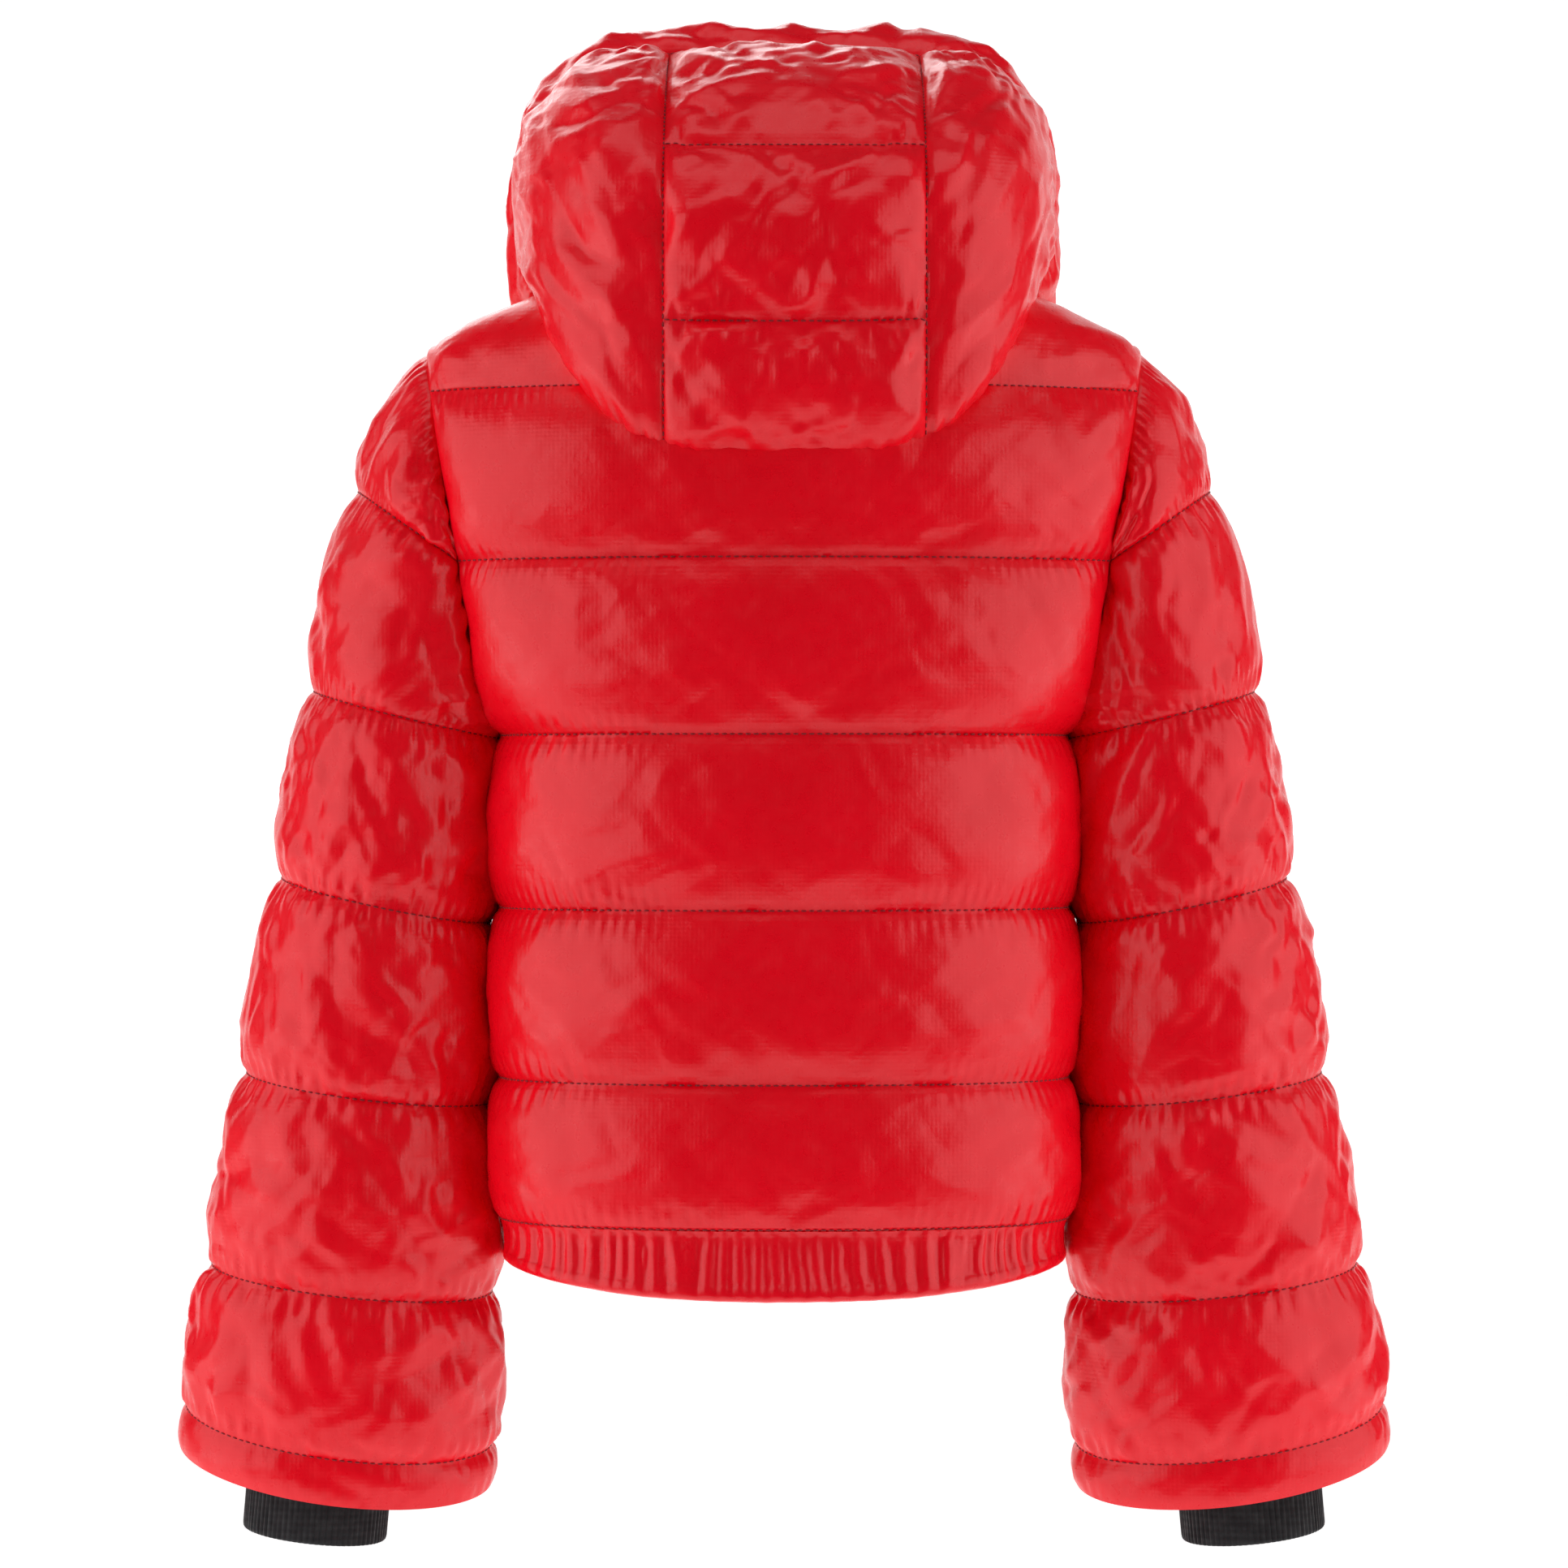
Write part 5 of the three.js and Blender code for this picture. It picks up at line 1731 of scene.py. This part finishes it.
@dataclass
class Cuff:
    """The ribbed storm cuff: a doubled knitted tube with real ribs, folded at its lower edge."""

    shop: Workshop
    side: Side
    ribs: int = 76
    wall: float = 3.6 * MM
    relief: float = 0.8 * MM

    def build(self) -> None:
        """Builds the cuff: rings down the outside, round the edge and up the inside, ribbed by a cosine."""
        columns = self.ribs * 6
        angle = math.pi - np.arange(columns) * 2 * math.pi / columns
        sway = 0.25 * np.sin(3 * angle + self.side.value)
        rib = np.abs(np.cos(self.ribs / 2 * (angle + 0.02 * sway))) ** 0.7 * self.relief
        turn = np.linspace(0, math.pi, 7)
        outside = [(z, 0.0, 1.0) for z in np.linspace(-642, -739, 26) * MM]
        edge = [
            (-740 * MM - self.wall / 2 * math.sin(a), -self.wall / 2 * (1 - math.cos(a)), 0.8) for a in turn
        ]
        inside = [(z, -self.wall, 0.6) for z in np.linspace(-739, -642, 14) * MM]
        levels = outside + edge + inside
        wave = 0.8 * MM * np.cos(2 * angle + 1)
        rows = [
            cuff_ring(z, angle, grow - self.relief + rib * share + wave * smooth((-0.66 - z) / 0.06))
            for z, grow, share in levels
        ]
        grid = np.array(rows) * np.array([self.side.value, 1, 1])
        index = np.arange(grid.shape[0] * columns).reshape(-1, columns)
        loop = np.concatenate([index, index[:1]])
        points = grid.reshape(-1, 3)
        made = self.shop.object(
            self.side.name_of("ribbed_cuff"), points, facing_out(points, [grid_quads(loop, True)]), KNIT
        )
        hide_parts(self.side.name_of("knit_cuff"))
        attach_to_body(made, self.side.name_of("cuff"))


@dataclass
class Hood:
    """The hood: a middle panel of three channels, two side panels, a brim, and a lining behind each."""

    shop: Workshop
    form: HoodForm
    trunk: TrunkForm
    inset: float = 2.5 * MM
    clear: float = -5 * MM
    rows: tuple[int, ...] = (30, 24, 16)
    columns: int = 41
    side_shape: tuple[int, int] = (72, 45)
    brim_shape: tuple[int, int] = (16, 141)

    def build(self) -> None:
        """Builds the four panels and their linings."""
        out = self._outward(self._middle())
        seams = [0, *np.cumsum(self.rows).tolist()]
        names = [
            ("hood_crown_channel", ("hood_crown_panel",)), ("hood_back_channel", ("hood_back_panel",)),
            ("hood_nape_channel", ("hood_nape_panel",)),
        ]
        made = self._quilt(
            "hood_middle", out, seams, names, 51, HOOD_FOLDS["middle"], (0, seams[1], seams[2])
        )
        panels = [made]
        for side in Side:
            grid = self._outward(self._side(side))
            name = side.name_of("hood_side_pad")
            panels.append(
                self._quilt(
                    side.name_of("hood_side_seam"), grid, [0, self.side_shape[0]],
                    [(name, (side.name_of("hood_side"),))], 53 + side.value, HOOD_FOLDS[side.name], (),
                )
            )
        brim = self._outward(self._brim())
        panels.append(
            self._quilt(
                "hood_brim_seam", brim, [0, self.brim_shape[0]], [("hood_brim_pad", ("hood_brim",))], 57,
                (), (0,),
            )
        )
        self._upright_stitching()
        for panel in panels:
            panel.lining(panel.name + "_lining", ("hood_lining",))

    def _quilt(
        self, name: str, grid: Array, seams: list[int], pieces: Pieces, seed: int,
        folds: tuple[Crease, ...], stitched: tuple[int, ...],
    ) -> Quilted:
        """Quilts one panel that rides on the hood.

        Args:
            name: the object's name.
            grid: points, shape (rows, columns, 3).
            seams: its seam rows.
            pieces: for each channel, its name and the CAD nodes it stands for.
            seed: seed of its random numbers.
            folds: folds laid over it.
            stitched: rows that carry stitches.

        Returns:
            The panel.
        """
        panel = Quilted(self.shop, name, grid, seams, pieces, lambda o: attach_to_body(o, "hood"))
        panel.puff, panel.creases, panel.stitched = 7 * MM, folds, stitched
        panel.rough, panel.wave = 2.1 * MM, 60 * MM
        panel.settings = {"seed": seed, "along": 0.0, "across": -0.005}
        panel.build()
        return panel

    def _outward(self, grid: Array) -> Array:
        """The grid, turned so that its normals point away from the hood's heart."""
        facing = (grid_normals(grid, False) * (grid - np.array(self.form.heart))).sum() > 0
        return grid if facing else grid[:, ::-1]

    def _cut(self, line: Array) -> Array:
        """The stretch of a dense line that lies outside the body, from its start to where it goes in.

        Args:
            line: points, shape (n, 3).

        Returns:
            The first part of the line.
        """
        inside = self.trunk.holds(line, self.clear)
        last = int(np.argmax(inside)) if inside.any() else len(line)
        return line[: max(last, 2)]

    def _middle(self) -> Array:
        """The middle panel: each line of constant x in even steps from brim to quilting to end.

        Returns:
            Points of shape (rows, columns, 3).
        """
        f = self.form
        x = np.linspace(*f.panel, self.columns)
        lines = f.profile(x, self.inset)
        columns = []
        for k in range(self.columns):
            line = self._cut(lines[lines[:, k, 1] > f.brim_seam, k])
            behind = np.arange(len(line)) > np.argmax(line[:, 2])
            cuts = [0, *[int(np.argmax(behind & (line[:, 2] < z))) for z in f.quilt[::-1]], len(line) - 1]
            parts = [
                resample(line[a : b + 1], np.arange(n) / n) for a, b, n in zip(cuts, cuts[1:], self.rows)
            ]
            columns.append(np.concatenate([*parts, line[-1:]]))
        return np.stack(columns, axis=1)

    def _side(self, side: Side) -> Array:
        """A side panel: lines from the middle panel's edge to the brim's seam, laid onto the hood.

        Args:
            side: the side of the wearer.

        Returns:
            Points of shape (rows, columns, 3).
        """
        f = self.form
        x = f.panel[1] if side is Side.LEFT else f.panel[0]
        edge = f.profile(np.array([x]), self.inset)[:, 0]
        edge = edge[edge[:, 1] > f.brim_seam]
        seam = self._seam(x)
        shares = np.linspace(0, 1, 200)
        a, b = resample(edge, shares), resample(seam, shares)
        u = np.linspace(0, 1, self.side_shape[1])[None, :, None]
        heart = np.array(f.heart)
        straight = lerp(a[:, None], b[:, None], u)
        laid = f.reach(heart + 0 * straight, unit(straight - heart), self.inset)
        laid[:, 0], laid[:, -1] = a, b
        laid[0] = lerp(laid[0], laid[3], 0.5)
        lines = [
            resample(self._cut(laid[:, k]), np.linspace(0, 1, self.side_shape[0] + 1))
            for k in range(laid.shape[1])
        ]
        return np.stack(lines, axis=1)

    def _seam(self, x: float) -> Array:
        """The brim's seam from where it passes x, over the side and down.

        Args:
            x: X of the middle panel's edge.

        Returns:
            Points of shape (n, 3).
        """
        angle = np.radians(np.linspace(90, -88, 400))
        line = self.form.arch(self.form.brim_seam, angle, self.inset)
        line[:, 0] *= np.sign(x)
        return line[np.abs(line[:, 0]) > abs(x)] if abs(x) < 0.1 else line

    def _brim(self) -> Array:
        """The brim: arches from the seam to the front edge, each cut where it meets the body.

        Returns:
            Points of shape (rows, columns, 3).
        """
        f = self.form
        rows, columns = self.brim_shape
        arches = []
        for y in np.linspace(f.brim_seam, f.front + 1 * MM, rows + 1):
            halves = []
            for direction in (1, -1):
                line = f.arch(float(y), np.radians(90 - direction * np.linspace(0, 178, 500)), self.inset)
                halves.append(self._cut(line))
            arches.append(
                resample(np.concatenate([halves[1][::-1], halves[0][1:]]), np.linspace(0, 1, columns))
            )
        return np.array(arches)

    def _upright_stitching(self) -> None:
        """Stitches beside the two upright seams of the middle panel."""
        beads, faces, count = [], [], 0
        for x in self.form.panel:
            line = self.form.profile(np.array([x]), self.inset)[:, 0]
            line = self._cut(line[line[:, 1] > self.form.brim_seam])
            points, quads = stitch_beads(line, line - np.array(self.form.heart))
            beads.append(points)
            faces.append(quads + count)
            count += len(points)
        made = self.shop.object(
            "hood_upright_stitching", np.concatenate(beads), [np.concatenate(faces)], THREAD
        )
        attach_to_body(made, "hood")


HOOD_FOLDS: dict[str, tuple[Crease, ...]] = {
    "middle": (
        Crease((-0.060, 0.14, 0.030), (0.020, 0.15, 0.010), 3.0 * MM, 8 * MM),
        Crease((0.050, 0.14, -0.010), (-0.010, 0.15, -0.030), 2.4 * MM, 7 * MM),
    ),
    "LEFT": (
        Crease((0.068, 0.13, 0.055), (0.150, 0.03, 0.030), 4.8 * MM, 9 * MM),
        Crease((0.072, 0.13, -0.040), (0.150, 0.04, -0.050), 4.8 * MM, 9 * MM),
        Crease((0.100, 0.11, 0.020), (0.150, 0.03, -0.015), 3.0 * MM, 8 * MM),
    ),
    "RIGHT": (
        Crease((-0.080, 0.13, 0.055), (-0.150, 0.03, 0.025), 4.8 * MM, 9 * MM),
        Crease((-0.082, 0.13, -0.040), (-0.150, 0.04, -0.055), 4.8 * MM, 9 * MM),
        Crease((-0.105, 0.11, -0.020), (-0.150, 0.03, 0.005), 3.0 * MM, 8 * MM),
    ),
}


@dataclass
class Zip:
    """Half a zip, or a whole one: woven tapes with a row of moulded teeth along the inner edge.

    Attributes:
        frame: a 3 x 3 array whose rows are the zip's own x, y (inwards) and z (up) directions.
        top: the zip's upper end.
        length: its length.
        width: from its middle to the tape's outer edge.
    """

    shop: Workshop
    frame: Array
    top: Array
    length: float
    width: float
    inner: float = 0.6 * MM
    tooth: tuple[float, float, float] = (2.7 * MM, 2.4 * MM, 1.5 * MM)
    pitch: float = 2.6 * MM

    def tape(self, name: str, sign: int, nodes: tuple[str, ...], body: str) -> None:
        """One tape with its teeth.

        Args:
            name: the object's name.
            sign: which side of the zip, 1 or -1.
            nodes: CAD nodes that it stands for.
            body: the body that it rides on.
        """
        x, y, z = self.frame
        ends = np.linspace(0, 1, 160)[:, None]
        middle = sign * (self.width + 2.6 * MM) / 2
        path = self.top + x * middle - z * self.length * ends
        path = path + y * (0.15 * MM * np.sin(60 * ends))
        across, up = np.zeros_like(path) + x, np.zeros_like(path) + y
        size = (self.width - 2.6 * MM, 1.0 * MM)
        made = self.shop.strip(name, path, across, up, size, TAPE)
        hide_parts(*nodes)
        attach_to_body(made, body)
        self._teeth(name + "_teeth", sign, body)

    def _teeth(self, name: str, sign: int, body: str) -> None:
        """The teeth of one side: a block each, half a pitch out of step with the other side's.

        Args:
            name: the object's name.
            sign: which side of the zip, 1 or -1.
            body: the body that it rides on.
        """
        count = int(self.length / self.pitch) - 2
        x, y, z = self.frame
        wide, deep, high = self.tooth
        down = (np.arange(count) + (1.0 if sign > 0 else 1.5)) * self.pitch
        centre = self.top - down[:, None] * z + x * sign * (self.inner + wide / 2)
        signs = np.array([[a, b, c] for c in (-1, 1) for b in (-1, 1) for a in (-1, 1)]) / 2
        slim = np.where(signs[:, :1] * sign < 0, 0.75, 1.0)
        corners = signs[:, :1] * wide * x + signs[:, 1:2] * deep * slim * y + signs[:, 2:] * high * z
        points = (centre[:, None] + corners).reshape(-1, 3)
        cube = np.array(
            [[0, 2, 3, 1], [4, 5, 7, 6], [0, 1, 5, 4], [2, 6, 7, 3], [0, 4, 6, 2], [1, 3, 7, 5]]
        )
        faces = (cube[None] + 8 * np.arange(count)[:, None, None]).reshape(-1, 4)
        made = self.shop.object(name, points, facing_out(points, [faces]), TEETH)
        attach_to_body(made, body)


@dataclass
class FrontZip:
    """The separating front zip and the storm flap behind it."""

    shop: Workshop
    form: TrunkForm
    top: float = 14 * MM
    sink: float = 6 * MM

    def build(self) -> None:
        """Builds both tapes and the flap."""
        lean = math.atan(self.form.lean)
        frame = np.array(
            [[1, 0, 0], [0, math.cos(lean), -math.sin(lean)], [0, math.sin(lean), math.cos(lean)]]
        )
        start = np.array([0, -(self.form.front - self.form.lean * self.top - self.sink), self.top])
        length = (self.top - self.form.hem_low - self.form.hem_rise / 4) / math.cos(lean)
        zip_line = Zip(self.shop, frame, start, length, 11.7 * MM)
        for side in Side:
            zip_line.tape(side.name_of("front_tape"), side.value, (side.name_of("zip_tape"),), "torso")
        x, y, z = frame
        ends = np.linspace(0, 1, 200)[:, None]
        path = start + y * (
            6.6 * MM + 0.25 * MM * np.sin(22 * ends)
        ) - z * (2 * MM + (length - 4 * MM) * ends)
        made = self.shop.strip(
            "flap_strip", path, np.zeros_like(path) + x, np.zeros_like(path) + y, (22 * MM, 2.0 * MM), CLOTH
        )
        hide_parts("storm_flap")
        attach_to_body(made, "torso")


@dataclass
class PocketZip:
    """A slanting pocket zip in a front, which the filling lies back from."""

    shop: Workshop
    form: TrunkForm
    side: Side
    x: float = 126 * MM
    z: float = -412 * MM
    slant: float = 6.8
    half: float = 68 * MM
    room: float = 9.5 * MM
    sunk: float = 7.0 * MM

    def _frame(self) -> tuple[Array, Array]:
        """The zip's directions as rows, and its middle.

        Returns:
            The three directions, and the middle.
        """
        def depth(x: float) -> float:
            return float(self.form.depth(np.array(x), np.array(self.z), -1))

        turn = math.atan2(depth(self.x) - depth(self.x + MM), MM)
        slant = math.radians(-self.slant)
        rz = np.array(
            [[math.cos(turn), -math.sin(turn), 0], [math.sin(turn), math.cos(turn), 0], [0, 0, 1]]
        )
        ry = np.array(
            [[math.cos(slant), 0, math.sin(slant)], [0, 1, 0], [-math.sin(slant), 0, math.cos(slant)]]
        )
        frame = (rz @ ry).T * np.array([self.side.value, 1, 1])
        return frame, np.array([self.x * self.side.value, -depth(self.x), self.z])

    def press(self, flat: Array) -> tuple[Array, Array]:
        """Presses a front back round the zip.

        Args:
            flat: the front's seam surface.

        Returns:
            The pressed surface, and which of its points are stitched down.
        """
        frame, middle = self._frame()
        across, _, up = ((flat - middle) @ frame[k] for k in range(3))
        beyond = np.maximum(np.abs(up + 12 * MM) - self.half - 12 * MM, 0)
        off = np.hypot(across, beyond)
        near = 1 - smooth((off - self.room) / (10 * MM))
        inward = near * np.maximum(self.sunk - (flat - middle) @ frame[1], 0.0)
        return flat + inward[..., None] * frame[1], off < self.room + 1.5 * MM

    def build(self) -> None:
        """Builds both tapes and the teeth."""
        frame, middle = self._frame()
        top = middle + frame[1] * 3 * MM + frame[2] * self.half
        line = Zip(self.shop, frame, top, 2 * self.half, 7.5 * MM)
        for sign, edge in ((1, "outer"), (-1, "inner")):
            name = self.side.name_of(f"pocket_{edge}_tape")
            line.tape(name, sign, (self.side.name_of("pocket_zip"),), "torso")


@dataclass
class Studio:
    """A pale sweep, two tall walls of light beside the back, smaller lamps, and the viewpoint behind it."""

    shop: Workshop

    def build(self) -> None:
        """Builds the sweep, the lamps, the world and the camera."""
        self._backdrop()
        self._lamp("left_wall", (2.3, 1.0, 0.0), (0.0, 0.0, -0.3), (3.2, 3.4), 56)
        self._lamp("right_wall", (-2.3, 1.0, 0.0), (0.0, 0.0, -0.3), (3.2, 3.4), 54)
        self._lamp("top_box", (0.0, 0.6, 2.2), (0.0, 0.0, -0.2), (2.6, 1.4), 14)
        self._lamp("front_box", (0.6, -2.2, 1.2), (0.0, 0.0, -0.3), (1.4, 1.4), 13)
        world = bpy.data.worlds.new("studio_world")
        world.use_nodes = True
        world.node_tree.nodes["Background"].inputs["Color"].default_value = (0.93, 0.95, 1.0, 1)
        world.node_tree.nodes["Background"].inputs["Strength"].default_value = 0.05
        scene = bpy.context.scene
        scene.world = world
        scene.view_settings.view_transform = "Standard"
        camera = bpy.data.objects.new("main_camera", bpy.data.cameras.new("main_camera"))
        camera.data.lens, camera.data.sensor_width = 121.5, 36
        camera.location = (0, 3.03, -0.328)
        camera.rotation_euler = (math.pi / 2, 0, math.pi)
        scene.collection.objects.link(camera)
        scene.camera = camera

    def _lamp(
        self, name: str, place: tuple, target: tuple, size: tuple[float, float], power: float
    ) -> None:
        """A rectangular area lamp aimed at a point.

        Args:
            name: the lamp's name.
            place: where it stands.
            target: what it is aimed at.
            size: width and height.
            power: power in watts.
        """
        data = bpy.data.lights.new(name, "AREA")
        data.shape, data.size, data.size_y, data.energy = "RECTANGLE", size[0], size[1], power
        lamp = bpy.data.objects.new(name, data)
        lamp.location = place
        lamp.rotation_euler = (Vector(target) - Vector(place)).to_track_quat("-Z", "Y").to_euler()
        bpy.context.scene.collection.objects.link(lamp)

    def _backdrop(self) -> None:
        """A pale floor that curves up into a pale wall behind the jacket, as seen by the camera."""
        made = bpy.data.materials.new("pale_sweep")
        made.use_nodes = True
        shader = made.node_tree.nodes["Principled BSDF"]
        shader.inputs["Base Color"].default_value = (0.9, 0.9, 0.9, 1)
        shader.inputs["Roughness"].default_value = 0.9
        shader.inputs["Emission Color"].default_value = (1.0, 0.99, 0.98, 1)
        shader.inputs["Emission Strength"].default_value = 0.62
        turn = np.linspace(0, math.pi / 2, 12)
        profile = [
            (0.9, -1.45), *[(-4.2 - 0.9 * math.sin(a), -0.55 - 0.9 * math.cos(a)) for a in turn],
            (-5.1, 3.9),
        ]
        rows = np.array([[(x, y, z) for x in (-5.5, 5.5)] for y, z in profile])
        mesh = bpy.data.meshes.new("sweep")
        quads = grid_quads(np.arange(rows.shape[0] * 2).reshape(-1, 2), False)
        mesh.from_pydata(rows.reshape(-1, 3).tolist(), [], quads.tolist())
        mesh.polygons.foreach_set("use_smooth", np.ones(len(quads), bool))
        mesh.materials.append(made)
        sweep = bpy.data.objects.new("sweep", mesh)
        bpy.context.scene.collection.objects.link(sweep)


def dress_metal(shop: Workshop, nodes: dict[str, Object]) -> None:
    """Gives the sliders and pulls that come from the frame their plated finish.

    Args:
        shop: makes the objects.
        nodes: the CAD nodes by name.
    """
    for name, node in nodes.items():
        if name.endswith(("slider", "pull")):
            for number in range(len(node.material_slots)):
                node.material_slots[number].link = "DATA"
                node.data.materials[number] = shop.material(METAL)


def main() -> None:
    """Builds the jacket's looks from the body outwards."""
    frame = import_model()
    shop, trunk_form = Workshop(), TrunkForm()
    pockets = {side: PocketZip(shop, trunk_form, side) for side in Side}
    trunk = Trunk(shop, trunk_form)
    trunk.build(pockets)
    for pocket in pockets.values():
        pocket.build()
    HemBand(shop, trunk_form).build()
    Collar(shop).build()
    FrontZip(shop, trunk_form).build()
    for side in Side:
        Sleeve(shop, SleeveForm(), side, trunk).build()
    Hood(shop, HoodForm(), trunk_form).build()
    dress_metal(shop, frame["nodes"])
    Studio(shop).build()


if __name__ == "__main__":
    main()
